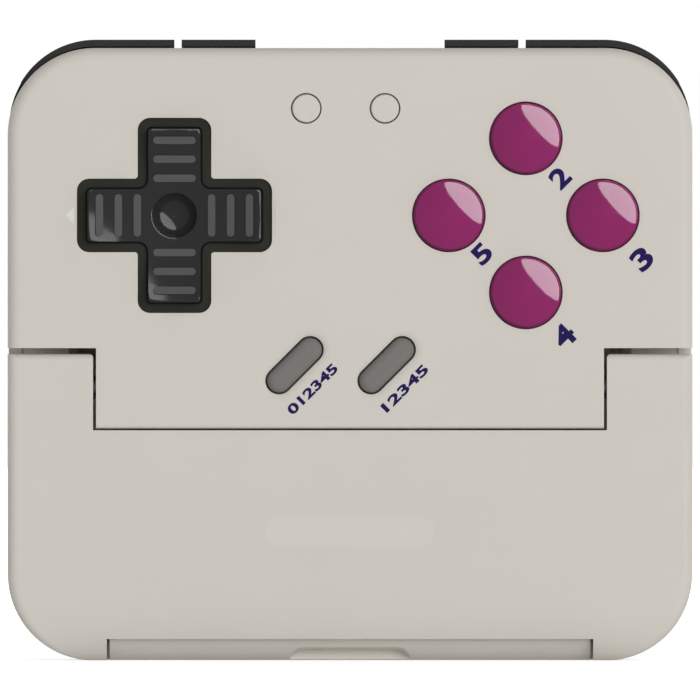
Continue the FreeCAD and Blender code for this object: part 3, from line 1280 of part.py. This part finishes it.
def all_pieces():
    """Every piece by node name."""
    pieces = {
        "head_front_shell": head_front_shell(),
        "head_rear_shell": head_rear_shell(),
        "head_screws": head_screws(),
        "head_pad": head_pad(),
        "dpad_surround": dpad_surround(),
        "dpad_key": dpad_key(),
        "dpad_grip_bars": grip_bars(),
        "dpad_pivot": dpad_pivot(),
        "dpad_membrane": dpad_membrane(),
        "face_membrane": face_membrane(),
        "pill_membrane": pill_membrane(),
        "tact_switches": tact_switches(),
        "main_board": main_board(),
        "board_chips": board_chips(),
        "battery": battery(),
        "charge_port": charge_port(),
        "lower_cover_shell": lower_cover_shell(),
        "lower_cover_inner": lower_cover_inner(),
        "cover_screws": cover_screws(),
        "plaque": plaque(),
        "phone_rest_pad": phone_rest_pad(),
        "mid_hinge_pins": mid_hinge_pins(),
        "mid_hinge_springs": mid_hinge_springs(),
        "bottom_hinge_pins": bottom_hinge_pins(),
        "bottom_hinge_springs": bottom_hinge_springs(),
        "clamp_front_shell": clamp_front_shell(),
        "clamp_rear_shell": clamp_rear_shell(),
        "clamp_barrel": clamp_barrel(),
        "barrel_screws": barrel_screws(),
        "clamp_screws": clamp_screws(),
        "clamp_pad": clamp_pad(),
        "shoulder_board": shoulder_board(),
        "shoulder_domes": shoulder_domes(),
    }
    for name, (x, z) in face_places().items():
        pieces["face_button_" + name] = face_button(x, z)
    for side, x in zip(("left", "right"), PILL_PLACES):
        pieces["pill_key_" + side] = pill_key(x)
    for side, x in zip(("left", "right"), FUNCTION_PLACES):
        pieces["function_key_" + side] = function_key(x)
    spans = shoulder_key_spans()
    for name in ("outer", "inner"):
        left_key, right_key = both_sides(shoulder_key(spans["left_" + name]))
        pieces["shoulder_key_left_" + name] = left_key
        pieces["shoulder_key_right_" + name] = right_key
    return pieces


os.makedirs("parts", exist_ok=True)
for node, shape in all_pieces().items():
    if isinstance(shape, list):
        shape = Part.makeCompound(shape)
    shape.translate(V(0, -MIDDLE_DEPTH, 0))
    shape.exportStep("parts/" + node + ".step")
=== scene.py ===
import math

import bpy
from mathutils import Matrix, Quaternion, Vector


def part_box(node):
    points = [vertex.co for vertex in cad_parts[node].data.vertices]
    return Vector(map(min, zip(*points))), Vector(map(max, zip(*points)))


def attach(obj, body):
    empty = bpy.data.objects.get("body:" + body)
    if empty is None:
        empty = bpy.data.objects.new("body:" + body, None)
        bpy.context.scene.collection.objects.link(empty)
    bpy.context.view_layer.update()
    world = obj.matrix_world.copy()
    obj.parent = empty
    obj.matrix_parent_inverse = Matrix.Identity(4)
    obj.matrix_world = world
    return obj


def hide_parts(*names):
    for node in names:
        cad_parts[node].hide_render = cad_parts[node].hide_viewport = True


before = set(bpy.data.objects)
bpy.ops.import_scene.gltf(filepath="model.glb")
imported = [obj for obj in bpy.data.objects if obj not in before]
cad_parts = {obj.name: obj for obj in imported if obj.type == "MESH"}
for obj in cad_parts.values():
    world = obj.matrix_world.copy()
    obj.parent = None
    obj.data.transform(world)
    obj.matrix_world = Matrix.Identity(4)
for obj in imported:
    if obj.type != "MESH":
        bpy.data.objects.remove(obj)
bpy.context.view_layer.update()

# Camera
# The photograph looks level and straight at the front from far away. Its width on the object and
# the height at its middle set the distance of a very long lens.
PHOTO_WIDTH = 0.08176
PHOTO_MIDDLE_HEIGHT = 0.03628
LENS_MM = 1600.0
SENSOR_MM = 36.0
CASING_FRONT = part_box("head_front_shell")[0].y

camera_data = bpy.data.cameras.new("photo_camera")
camera_data.lens = LENS_MM
camera_data.sensor_width = SENSOR_MM
camera = bpy.data.objects.new("photo_camera", camera_data)
bpy.context.scene.collection.objects.link(camera)
camera_distance = PHOTO_WIDTH * LENS_MM / SENSOR_MM
camera.location = (0, CASING_FRONT - camera_distance, PHOTO_MIDDLE_HEIGHT)
camera.rotation_euler = (math.radians(90), 0, 0)
bpy.context.scene.camera = camera
bpy.context.scene.view_settings.view_transform = "Standard"

# Floor and surroundings
# A pale light table that reads as white and keeps a faint shadow of the controller. Away from the
# controller it glows more, so that no line shows where it ends.
FLOOR_HALF_SIZE = 6.0
FLOOR_COLOUR = (0.80, 0.80, 0.80, 1)
FLOOR_ROUGHNESS = 0.9
FLOOR_GLOW_NEAR = 0.54
FLOOR_GLOW_FAR = 1.0
FLOOR_BOUNCE = 0.13
GLOW_STARTS = 0.3
GLOW_FULL = 0.9
SURROUND_LIGHT = 0.26
SURROUND_SEEN = 1.0
WHITE = (1, 1, 1, 1)


def camera_side_glow(tree):
    """A factor of one for what the camera, a mirror or a glass sees, and zero for other light."""
    path = tree.nodes.new("ShaderNodeLightPath")
    seen = path.outputs["Is Camera Ray"]
    for also in ("Is Glossy Ray", "Is Transmission Ray"):
        either = tree.nodes.new("ShaderNodeMath")
        either.operation = "MAXIMUM"
        tree.links.new(seen, either.inputs[0])
        tree.links.new(path.outputs[also], either.inputs[1])
        seen = either.outputs[0]
    return seen


bpy.ops.object.select_all(action="DESELECT")
bpy.ops.mesh.primitive_plane_add(size=2 * FLOOR_HALF_SIZE)
floor = bpy.context.object
floor.name = "studio_floor"
floor.visible_glossy = False
floor_material = bpy.data.materials.new("studio_floor")
floor_material.use_nodes = True
floor_tree = floor_material.node_tree
floor_shader = floor_tree.nodes["Principled BSDF"]
floor_shader.inputs["Base Color"].default_value = FLOOR_COLOUR
floor_shader.inputs["Roughness"].default_value = FLOOR_ROUGHNESS
floor_shader.inputs["Emission Color"].default_value = WHITE
floor_place = floor_tree.nodes.new("ShaderNodeTexCoord")
floor_distance = floor_tree.nodes.new("ShaderNodeVectorMath")
floor_distance.operation = "LENGTH"
floor_tree.links.new(floor_place.outputs["Object"], floor_distance.inputs[0])
floor_glow = floor_tree.nodes.new("ShaderNodeMapRange")
floor_glow.inputs["From Min"].default_value = GLOW_STARTS
floor_glow.inputs["From Max"].default_value = GLOW_FULL
floor_glow.inputs["To Min"].default_value = FLOOR_GLOW_NEAR
floor_glow.inputs["To Max"].default_value = FLOOR_GLOW_FAR
floor_tree.links.new(floor_distance.outputs["Value"], floor_glow.inputs["Value"])
floor_seen = floor_tree.nodes.new("ShaderNodeMapRange")
floor_seen.inputs["To Min"].default_value = FLOOR_BOUNCE
floor_tree.links.new(camera_side_glow(floor_tree), floor_seen.inputs["Value"])
floor_tree.links.new(floor_glow.outputs["Result"], floor_seen.inputs["To Max"])
floor_tree.links.new(floor_seen.outputs["Result"], floor_shader.inputs["Emission Strength"])
floor.data.materials.append(floor_material)

world = bpy.data.worlds.new("studio")
bpy.context.scene.world = world
world.use_nodes = True
world_light = world.node_tree.nodes["Background"]
world_light.inputs["Color"].default_value = WHITE
world_strength = world.node_tree.nodes.new("ShaderNodeMapRange")
world_strength.inputs["To Min"].default_value = SURROUND_LIGHT
world_strength.inputs["To Max"].default_value = SURROUND_SEEN
world.node_tree.links.new(camera_side_glow(world.node_tree), world_strength.inputs["Value"])
world.node_tree.links.new(world_strength.outputs["Result"], world_light.inputs["Strength"])

# Lamps
# A broad soft lamp in front, to the right, and a weaker one behind each side light the matt
# surfaces. An oval softbox at the upper right makes the highlights of the glossy keys alone.
OBJECT_MIDDLE = (0, 0, 0.036)


def studio_lamp(name, shape, size, strength, place, target, roll=0.0, in_gloss=False):
    """A soft lamp, as strong per area at any size, seen either in gloss or in matt light only."""
    lamp_data = bpy.data.lights.new(name, "AREA")
    lamp_data.shape = shape
    lamp_data.size, lamp_data.size_y = size
    shape_area = size[0] * size[1] * (1.0 if shape == "RECTANGLE" else math.pi / 4)
    lamp_data.energy = strength * math.pi * shape_area
    lamp = bpy.data.objects.new(name, lamp_data)
    bpy.context.scene.collection.objects.link(lamp)
    lamp.location = place
    facing = (Vector(target) - Vector(place)).to_track_quat("-Z", "Y")
    lamp.rotation_euler = (facing @ Quaternion((0, 0, 1), math.radians(roll))).to_euler()
    lamp.visible_camera = False
    lamp.visible_glossy = in_gloss
    lamp.visible_diffuse = not in_gloss
    return lamp


studio_lamp("front_lamp", "RECTANGLE", size=(1.4, 1.4), strength=6.65,
            place=(0.618, -1.794, 0.135), target=OBJECT_MIDDLE)
studio_lamp("back_lamp_left", "RECTANGLE", size=(1.0, 1.0), strength=4.6,
            place=(-1.35, 1.4, 0.7), target=OBJECT_MIDDLE)
studio_lamp("back_lamp_right", "RECTANGLE", size=(1.0, 1.0), strength=4.6,
            place=(1.35, 1.4, 0.7), target=OBJECT_MIDDLE)
softbox = studio_lamp("oval_softbox", "ELLIPSE", size=(3.95, 2.53), strength=15.9,
                      place=(1.198, -0.667, 0.894), target=(0.173, 0.009, -0.131),
                      roll=-67.1, in_gloss=True)
glossy_keys = bpy.data.collections.new("glossy_keys")
softbox.light_linking.receiver_collection = glossy_keys

# Casings
# The head, the lower cover, the clamp and its hinge barrel are moulded in the same warm pale grey
# plastic, with a fine matt texture from the mould.
CASING_COLOUR = (0.610, 0.578, 0.527)
GRAIN_SIZE = 0.00022
GRAIN_DEPTH = 0.000004
GRAIN_DETAIL = 2
MOTTLE_SIZE = 0.012
MOTTLE_DETAIL = 3
SHINE_SPREAD = 0.1


def moulded_plastic(name, colour, roughness, gloss, grain=1.0, mottle=0.02):
    """A moulded plastic or rubber. Its grain is given as a share of the casing's grain depth,
    and its mottle as the share by which its colour wanders."""
    material = bpy.data.materials.new(name)
    material.use_nodes = True
    tree = material.node_tree
    shader = tree.nodes["Principled BSDF"]
    place = tree.nodes.new("ShaderNodeTexCoord")

    cloud = tree.nodes.new("ShaderNodeTexNoise")
    cloud.inputs["Scale"].default_value = 1 / MOTTLE_SIZE
    cloud.inputs["Detail"].default_value = MOTTLE_DETAIL
    tree.links.new(place.outputs["Object"], cloud.inputs["Vector"])
    tint = tree.nodes.new("ShaderNodeMix")
    tint.data_type = "RGBA"
    tint.inputs["A"].default_value = [channel * (1 - mottle) for channel in colour] + [1]
    tint.inputs["B"].default_value = [channel * (1 + mottle) for channel in colour] + [1]
    tree.links.new(cloud.outputs["Fac"], tint.inputs["Factor"])
    tree.links.new(tint.outputs["Result"], shader.inputs["Base Color"])

    texture = tree.nodes.new("ShaderNodeTexNoise")
    texture.inputs["Scale"].default_value = 1 / GRAIN_SIZE
    texture.inputs["Detail"].default_value = GRAIN_DETAIL
    tree.links.new(place.outputs["Object"], texture.inputs["Vector"])
    bump = tree.nodes.new("ShaderNodeBump")
    bump.inputs["Distance"].default_value = GRAIN_DEPTH * grain
    tree.links.new(texture.outputs["Fac"], bump.inputs["Height"])
    tree.links.new(bump.outputs["Normal"], shader.inputs["Normal"])

    shine = tree.nodes.new("ShaderNodeMapRange")
    shine.inputs["To Min"].default_value = roughness * (1 - SHINE_SPREAD)
    shine.inputs["To Max"].default_value = roughness * (1 + SHINE_SPREAD)
    tree.links.new(texture.outputs["Fac"], shine.inputs["Value"])
    tree.links.new(shine.outputs["Result"], shader.inputs["Roughness"])
    shader.inputs["Specular IOR Level"].default_value = gloss
    return material


def finish_nodes(material, *names):
    """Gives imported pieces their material."""
    for name in names:
        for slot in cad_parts[name].material_slots:
            slot.material = material


casing_plastic = moulded_plastic("casing_plastic", colour=CASING_COLOUR, roughness=0.6, gloss=0.12)
finish_nodes(casing_plastic, "head_front_shell", "head_rear_shell", "lower_cover_shell",
             "lower_cover_inner", "clamp_front_shell", "clamp_rear_shell", "clamp_barrel")

# Function keys
# Two small round keys, moulded in the casing's plastic with a smoother satin face.
function_plastic = moulded_plastic("function_plastic", colour=CASING_COLOUR, roughness=0.55,
                                   gloss=0.1, grain=0.5)
finish_nodes(function_plastic, "function_key_left", "function_key_right")

# Plaque
# A small oval plate, glued level into the lower cover's front. It is glossier and paler than the
# casing, and it is blank.
plaque_plastic = moulded_plastic("plaque_plastic", colour=(0.625, 0.595, 0.545), roughness=0.3,
                                 gloss=0.15, grain=0.25)
finish_nodes(plaque_plastic, "plaque")

# D-pad
# A matt black plastic frame in a shallow dish, and a glossy black plastic cross with twelve matt
# grey grip bars. The cross tilts on a pale satin stub behind its middle.
band_plastic = moulded_plastic("band_plastic", colour=(0.029, 0.029, 0.024), roughness=0.6, gloss=0.06)
finish_nodes(band_plastic, "dpad_surround")
dpad_plastic = moulded_plastic("dpad_plastic", colour=(0.024, 0.024, 0.024), roughness=0.1,
                               gloss=0.09, grain=0.1)
finish_nodes(dpad_plastic, "dpad_key")
glossy_keys.objects.link(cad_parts["dpad_key"])
bar_plastic = moulded_plastic("bar_plastic", colour=(0.091, 0.091, 0.091), roughness=0.7, gloss=0.05)
finish_nodes(bar_plastic, "dpad_grip_bars")
pivot_plastic = moulded_plastic("pivot_plastic", colour=(0.62, 0.61, 0.58), roughness=0.4,
                                gloss=0.3, grain=0.25)
finish_nodes(pivot_plastic, "dpad_pivot")

# Pointer marks
# Four small triangles, moulded proud of the head's front round the D-pad's dish and pointing
# away from it. The left one has a paler colour, a painted highlight for the light that falls on it.
POINTER_TALL = 0.00105
POINTER_WIDE = 0.0020
POINTER_FROM = 0.01173
POINTER_PROUD = 0.00004
POINTER_SUNK = 0.0001
POINTER_EDGE = 0.00002


def front_middle(node):
    """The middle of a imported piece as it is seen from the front, with no depth."""
    low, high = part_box(node)
    return Vector(((low.x + high.x) / 2, 0, (low.z + high.z) / 2))


bpy.ops.object.select_all(action="DESELECT")
bpy.ops.mesh.primitive_cylinder_add(vertices=3, radius=POINTER_WIDE / math.sqrt(3),
                                    depth=POINTER_PROUD + POINTER_SUNK)
pointer = bpy.context.object
pointer.rotation_euler = (math.radians(90), 0, 0)
bpy.ops.object.transform_apply(rotation=True)
corner_heights = [vertex.co.z for vertex in pointer.data.vertices]
pointer.scale = (1, 1, POINTER_TALL / (max(corner_heights) - min(corner_heights)))
if max(corner_heights) < -min(corner_heights):
    pointer.rotation_euler = (0, math.radians(180), 0)
bpy.ops.object.transform_apply(rotation=True, scale=True)
bpy.ops.object.mode_set(mode="EDIT")
bpy.ops.mesh.select_all(action="SELECT")
bpy.ops.mesh.bevel(offset=POINTER_EDGE, segments=2, affect="EDGES")
bpy.ops.object.mode_set(mode="OBJECT")
pointer_foot = min(vertex.co.z for vertex in pointer.data.vertices)
pointer.data.transform(Matrix.Translation(
    (0, CASING_FRONT + (POINTER_SUNK - POINTER_PROUD) / 2, POINTER_FROM - pointer_foot)))

# The left mark's paler colour is a painted highlight, not a colour of its own.
painted_highlight_mark = moulded_plastic("painted_highlight_mark", colour=(0.70, 0.68, 0.64), roughness=0.5, gloss=0.12)
for quarter, side in enumerate(("top", "right", "bottom", "left")):
    mark = pointer.copy()
    mark.data = pointer.data.copy()
    mark.name = "dpad_pointer_" + side
    bpy.context.scene.collection.objects.link(mark)
    turn = Matrix.Rotation(math.radians(90 * quarter), 4, "Y")
    mark.data.transform(Matrix.Translation(front_middle("dpad_key")) @ turn)
    mark.data.materials.append(painted_highlight_mark if side == "left" else casing_plastic)
    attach(mark, "head")
bpy.data.objects.remove(pointer)

# Round buttons
# Four domed keys in clear raspberry plastic, polished, and held behind the casing by a flange.
button_plastic = moulded_plastic("button_plastic", colour=(0.236, 0.008, 0.107), roughness=0.08,
                                 gloss=0.23, grain=0.05)
for side in ("top", "right", "bottom", "left"):
    finish_nodes(button_plastic, "face_button_" + side)
    glossy_keys.objects.link(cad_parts["face_button_" + side])

# Printed numbers
# Pad-printed in navy ink on the head's front: a plain number at the lower right of each round
# button, and a row of small ones along each pill key. All of them lean at 45 degrees.
INK_THICKNESS = 0.00002
INK_BOLD = 0.035
LEAN_DEGREES = -45.0

navy_ink = moulded_plastic("navy_ink", colour=(0.019, 0.013, 0.088), roughness=0.6, gloss=0.04)


def inked_number(name, digits, key, across, below, wide, tall):
    """Digits of one height, with their middle across and below that of a key."""
    bpy.ops.object.select_all(action="DESELECT")
    bpy.ops.object.text_add()
    number = bpy.context.object
    number.name = name
    number.data.body = digits
    number.data.offset = INK_BOLD
    number.data.extrude = INK_THICKNESS
    bpy.ops.object.convert(target="MESH")
    bpy.ops.object.origin_set(type="ORIGIN_GEOMETRY", center="BOUNDS")
    number.scale = (wide / number.dimensions.x, tall / number.dimensions.y, 1)
    number.rotation_euler = (math.radians(90), math.radians(LEAN_DEGREES), 0)
    number.location = front_middle(key) + Vector((across, CASING_FRONT, -below))
    bpy.ops.object.transform_apply(location=True, rotation=True, scale=True)
    number.data.materials.clear()
    number.data.materials.append(navy_ink)
    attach(number, "head")


inked_number("number_top", "2", "face_button_top", across=0.00396, below=0.0046,
             wide=0.0020, tall=0.0024)
inked_number("number_right", "3", "face_button_right", across=0.00456, below=0.0051,
             wide=0.0022, tall=0.0026)
inked_number("number_bottom", "4", "face_button_bottom", across=0.00446, below=0.0051,
             wide=0.0023, tall=0.0026)
inked_number("number_left", "5", "face_button_left", across=0.00386, below=0.0045,
             wide=0.0020, tall=0.0023)
inked_number("number_row_left", "012345", "pill_key_left", across=0.00208, below=0.0028,
             wide=0.0076, tall=0.0012)
inked_number("number_row_right", "12345", "pill_key_right", across=0.00212, below=0.0027,
             wide=0.0070, tall=0.0012)

# Pill keys
# Two slanted keys, moulded in satin mid grey plastic, each in a shallow dished halo.
pill_plastic = moulded_plastic("pill_plastic", colour=(0.188, 0.181, 0.170), roughness=0.65, gloss=0.04)
finish_nodes(pill_plastic, "pill_key_left", "pill_key_right")

# Silicone membranes and domes
# Cloudy white silicone, moulded as thin sheets behind the head's keys and as domes on the
# shoulder board, which push the pressed keys back.
silicone = moulded_plastic("silicone", colour=(0.46, 0.46, 0.45), roughness=0.7, gloss=0.2, mottle=0.05)
finish_nodes(silicone, "dpad_membrane", "face_membrane", "pill_membrane", "shoulder_domes")

# Circuit boards and what is soldered to them
# Glass-fibre boards under green lacquer with faint copper tracks, chips and switches in black
# resin. The boards rest on posts in the head and on the clamp's inner wall.
TRACK_PITCH = 0.0012
TRACK_SHARE = 0.06
PATCH_SHADE = 0.8


def lacquered_board(name, lacquer, copper):
    """Lacquer over fibreglass, with the copper tracks showing through as paler lines."""
    material = moulded_plastic(name, colour=lacquer, roughness=0.35, gloss=0.4)
    tree = material.node_tree
    place = tree.nodes.new("ShaderNodeTexCoord")
    tracks = tree.nodes.new("ShaderNodeTexBrick")
    tracks.inputs["Scale"].default_value = 1 / TRACK_PITCH
    tracks.inputs["Mortar Size"].default_value = TRACK_SHARE
    tracks.inputs["Color1"].default_value = lacquer + (1,)
    tracks.inputs["Color2"].default_value = [channel * PATCH_SHADE for channel in lacquer] + [1]
    tracks.inputs["Mortar"].default_value = copper + (1,)
    upright = tree.nodes.new("ShaderNodeMapping")
    upright.inputs["Rotation"].default_value = (math.radians(90), 0, 0)
    tree.links.new(place.outputs["Object"], upright.inputs["Vector"])
    tree.links.new(upright.outputs["Vector"], tracks.inputs["Vector"])
    tree.links.new(tracks.outputs["Color"], tree.nodes["Principled BSDF"].inputs["Base Color"])
    return material


board_laminate = lacquered_board("board_laminate", lacquer=(0.010, 0.085, 0.030),
                                 copper=(0.05, 0.20, 0.07))
finish_nodes(board_laminate, "main_board", "shoulder_board")
chip_resin = moulded_plastic("chip_resin", colour=(0.018, 0.018, 0.018), roughness=0.55,
                             gloss=0.3, grain=2.0)
finish_nodes(chip_resin, "board_chips")
switch_plastic = moulded_plastic("switch_plastic", colour=(0.03, 0.03, 0.03), roughness=0.45, gloss=0.3)
finish_nodes(switch_plastic, "tact_switches")

# Screws, pins, springs and socket
# Plated steel with fine drawing lines: zinc-grey screws, hinge pins darkened with painted shade,
# brighter springs, and the folded steel shell of the charging socket.
DRAW_LINE = 0.00015
DRAW_STRETCH = 0.05


def drawn_metal(name, colour, roughness, streak):
    """Bare or plated metal, its colour and shine streaked by fine lines along the width."""
    material = bpy.data.materials.new(name)
    material.use_nodes = True
    tree = material.node_tree
    shader = tree.nodes["Principled BSDF"]
    shader.inputs["Metallic"].default_value = 1.0
    place = tree.nodes.new("ShaderNodeTexCoord")
    stretch = tree.nodes.new("ShaderNodeMapping")
    stretch.inputs["Scale"].default_value = (DRAW_STRETCH, 1, 1)
    tree.links.new(place.outputs["Object"], stretch.inputs["Vector"])
    lines = tree.nodes.new("ShaderNodeTexNoise")
    lines.inputs["Scale"].default_value = 1 / DRAW_LINE
    tree.links.new(stretch.outputs["Vector"], lines.inputs["Vector"])
    tint = tree.nodes.new("ShaderNodeMix")
    tint.data_type = "RGBA"
    tint.inputs["A"].default_value = [channel * (1 - streak) for channel in colour] + [1]
    tint.inputs["B"].default_value = [channel * (1 + streak) for channel in colour] + [1]
    tree.links.new(lines.outputs["Fac"], tint.inputs["Factor"])
    tree.links.new(tint.outputs["Result"], shader.inputs["Base Color"])
    shine = tree.nodes.new("ShaderNodeMapRange")
    shine.inputs["To Min"].default_value = roughness * (1 - streak)
    shine.inputs["To Max"].default_value = roughness * (1 + streak)
    tree.links.new(lines.outputs["Fac"], shine.inputs["Value"])
    tree.links.new(shine.outputs["Result"], shader.inputs["Roughness"])
    return material


screw_steel = drawn_metal("screw_steel", colour=(0.28, 0.28, 0.29), roughness=0.35, streak=0.15)
finish_nodes(screw_steel, "head_screws", "cover_screws", "clamp_screws", "barrel_screws")
# The hinge pins' dark colour is painted shade from the slits they sit in, not the steel's own colour.
pin_steel = drawn_metal("pin_steel", colour=(0.21, 0.21, 0.22), roughness=0.35, streak=0.1)
finish_nodes(pin_steel, "mid_hinge_pins", "bottom_hinge_pins")
spring_steel = drawn_metal("spring_steel", colour=(0.33, 0.33, 0.35), roughness=0.3, streak=0.2)
finish_nodes(spring_steel, "mid_hinge_springs", "bottom_hinge_springs")
socket_steel = drawn_metal("socket_steel", colour=(0.52, 0.52, 0.54), roughness=0.28, streak=0.1)
finish_nodes(socket_steel, "charge_port")

# Battery
# A flat pouch cell in dull aluminium foil, stuck to the inside of the clamp's rear casing.
pouch_foil = drawn_metal("pouch_foil", colour=(0.45, 0.45, 0.47), roughness=0.4, streak=0.2)
finish_nodes(pouch_foil, "battery")

# Shoulder keys
# Four hollow caps, moulded in satin dark grey plastic, on the clamp's upper corners. A hook
# inside keeps each one in the clamp.
shoulder_plastic = moulded_plastic("shoulder_plastic", colour=(0.041, 0.040, 0.038), roughness=0.5,
                                   gloss=0.05)
finish_nodes(shoulder_plastic, "shoulder_key_left_outer", "shoulder_key_left_inner",
             "shoulder_key_right_inner", "shoulder_key_right_outer")

# Rubber pads
# Three moulded rubber pads that hold the phone: behind the head, on the clamp and as a rest on
# the lower cover. Each has a rounded rim round a sunk field with low ribs across it.
PAD_RIM = 0.0012
PAD_STEP = 0.0002
PAD_FIELD = 0.0002
PAD_EDGE = 0.00012
CORNER_FACETS = 8
EDGE_FACETS = 2
RIB_PITCH = 0.0016
RIB_WIDE = 0.0008
RIB_SHORT = 0.0026
RIB_BELOW_RIM = 0.000025
RIB_ROOT = 0.0002
RIB_EDGE = 0.00008
OUTWARD_FACING = 0.9
SMOOTH_ANGLE = 35

pad_rubber = moulded_plastic("pad_rubber", colour=(0.25, 0.215, 0.18), roughness=0.75, gloss=0.1,
                             grain=2.0)


def box_piece(name, low, high):
    """A block between two corners, its place in its mesh."""
    bpy.ops.object.select_all(action="DESELECT")
    bpy.ops.mesh.primitive_cube_add(size=1, location=(Vector(low) + Vector(high)) / 2)
    bpy.ops.transform.resize(value=Vector(high) - Vector(low))
    bpy.ops.object.transform_apply(location=True, rotation=True, scale=True)
    piece = bpy.context.object
    piece.name = name
    return piece


def soften(piece, width):
    """Rounds the sharp edges of a piece."""
    bevel = piece.modifiers.new("soft_edges", "BEVEL")
    bevel.width = width
    bevel.segments = EDGE_FACETS
    bevel.limit_method = "ANGLE"
    bpy.context.view_layer.objects.active = piece
    bpy.ops.object.modifier_apply(modifier=bevel.name)


def rubber_pad(name, node, body, corner, outward):
    """A ribbed pad as big as its node, whose ribs stand towards outward, plus or minus Y."""
    low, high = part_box(node)
    pad = box_piece(name, low, high)
    bpy.ops.object.mode_set(mode="EDIT")
    bpy.ops.mesh.select_mode(type="EDGE")
    bpy.ops.mesh.select_all(action="DESELECT")
    bpy.ops.object.mode_set(mode="OBJECT")
    for edge in pad.data.edges:
        ends = [pad.data.vertices[index].co for index in edge.vertices]
        edge.select = abs(ends[0].y - ends[1].y) > (high.y - low.y) / 2
    bpy.ops.object.mode_set(mode="EDIT")
    bpy.ops.mesh.bevel(offset=corner, segments=CORNER_FACETS, affect="EDGES")
    bpy.ops.mesh.select_mode(type="FACE")
    bpy.ops.mesh.select_all(action="DESELECT")
    bpy.ops.object.mode_set(mode="OBJECT")
    for face in pad.data.polygons:
        face.select = face.normal.y * outward > OUTWARD_FACING
    bpy.ops.object.mode_set(mode="EDIT")
    bpy.ops.mesh.inset(thickness=PAD_RIM)
    bpy.ops.mesh.inset(thickness=PAD_STEP, depth=-PAD_FIELD)
    bpy.ops.object.mode_set(mode="OBJECT")
    soften(pad, PAD_EDGE)

    face_y = high.y if outward > 0 else low.y
    root_y = face_y - outward * (PAD_FIELD + RIB_ROOT)
    crest_y = face_y - outward * RIB_BELOW_RIM
    field_low = low.z + PAD_RIM + PAD_STEP
    field_high = high.z - PAD_RIM - PAD_STEP
    rib_count = int((field_high - field_low - RIB_WIDE) / RIB_PITCH)
    first = (field_low + field_high - (rib_count - 1) * RIB_PITCH) / 2
    rib = box_piece("pad_rib", (low.x + RIB_SHORT, min(root_y, crest_y), first - RIB_WIDE / 2),
                    (high.x - RIB_SHORT, max(root_y, crest_y), first + RIB_WIDE / 2))
    soften(rib, RIB_EDGE)
    ribs = [rib]
    for step in range(1, rib_count):
        copy = rib.copy()
        copy.data = rib.data.copy()
        bpy.context.scene.collection.objects.link(copy)
        copy.data.transform(Matrix.Translation((0, 0, step * RIB_PITCH)))
        ribs.append(copy)
    bpy.ops.object.select_all(action="DESELECT")
    for piece in ribs + [pad]:
        piece.select_set(True)
    bpy.context.view_layer.objects.active = pad
    bpy.ops.object.join()
    bpy.ops.object.shade_smooth_by_angle(angle=math.radians(SMOOTH_ANGLE))
    pad.data.materials.clear()
    pad.data.materials.append(pad_rubber)
    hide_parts(node)
    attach(pad, body)


rubber_pad("head_rubber_pad", "head_pad", "head", corner=0.004, outward=1)
rubber_pad("clamp_rubber_pad", "clamp_pad", "rear_clamp", corner=0.004, outward=-1)
rubber_pad("phone_rest_rubber", "phone_rest_pad", "lower_cover", corner=0.002, outward=1)
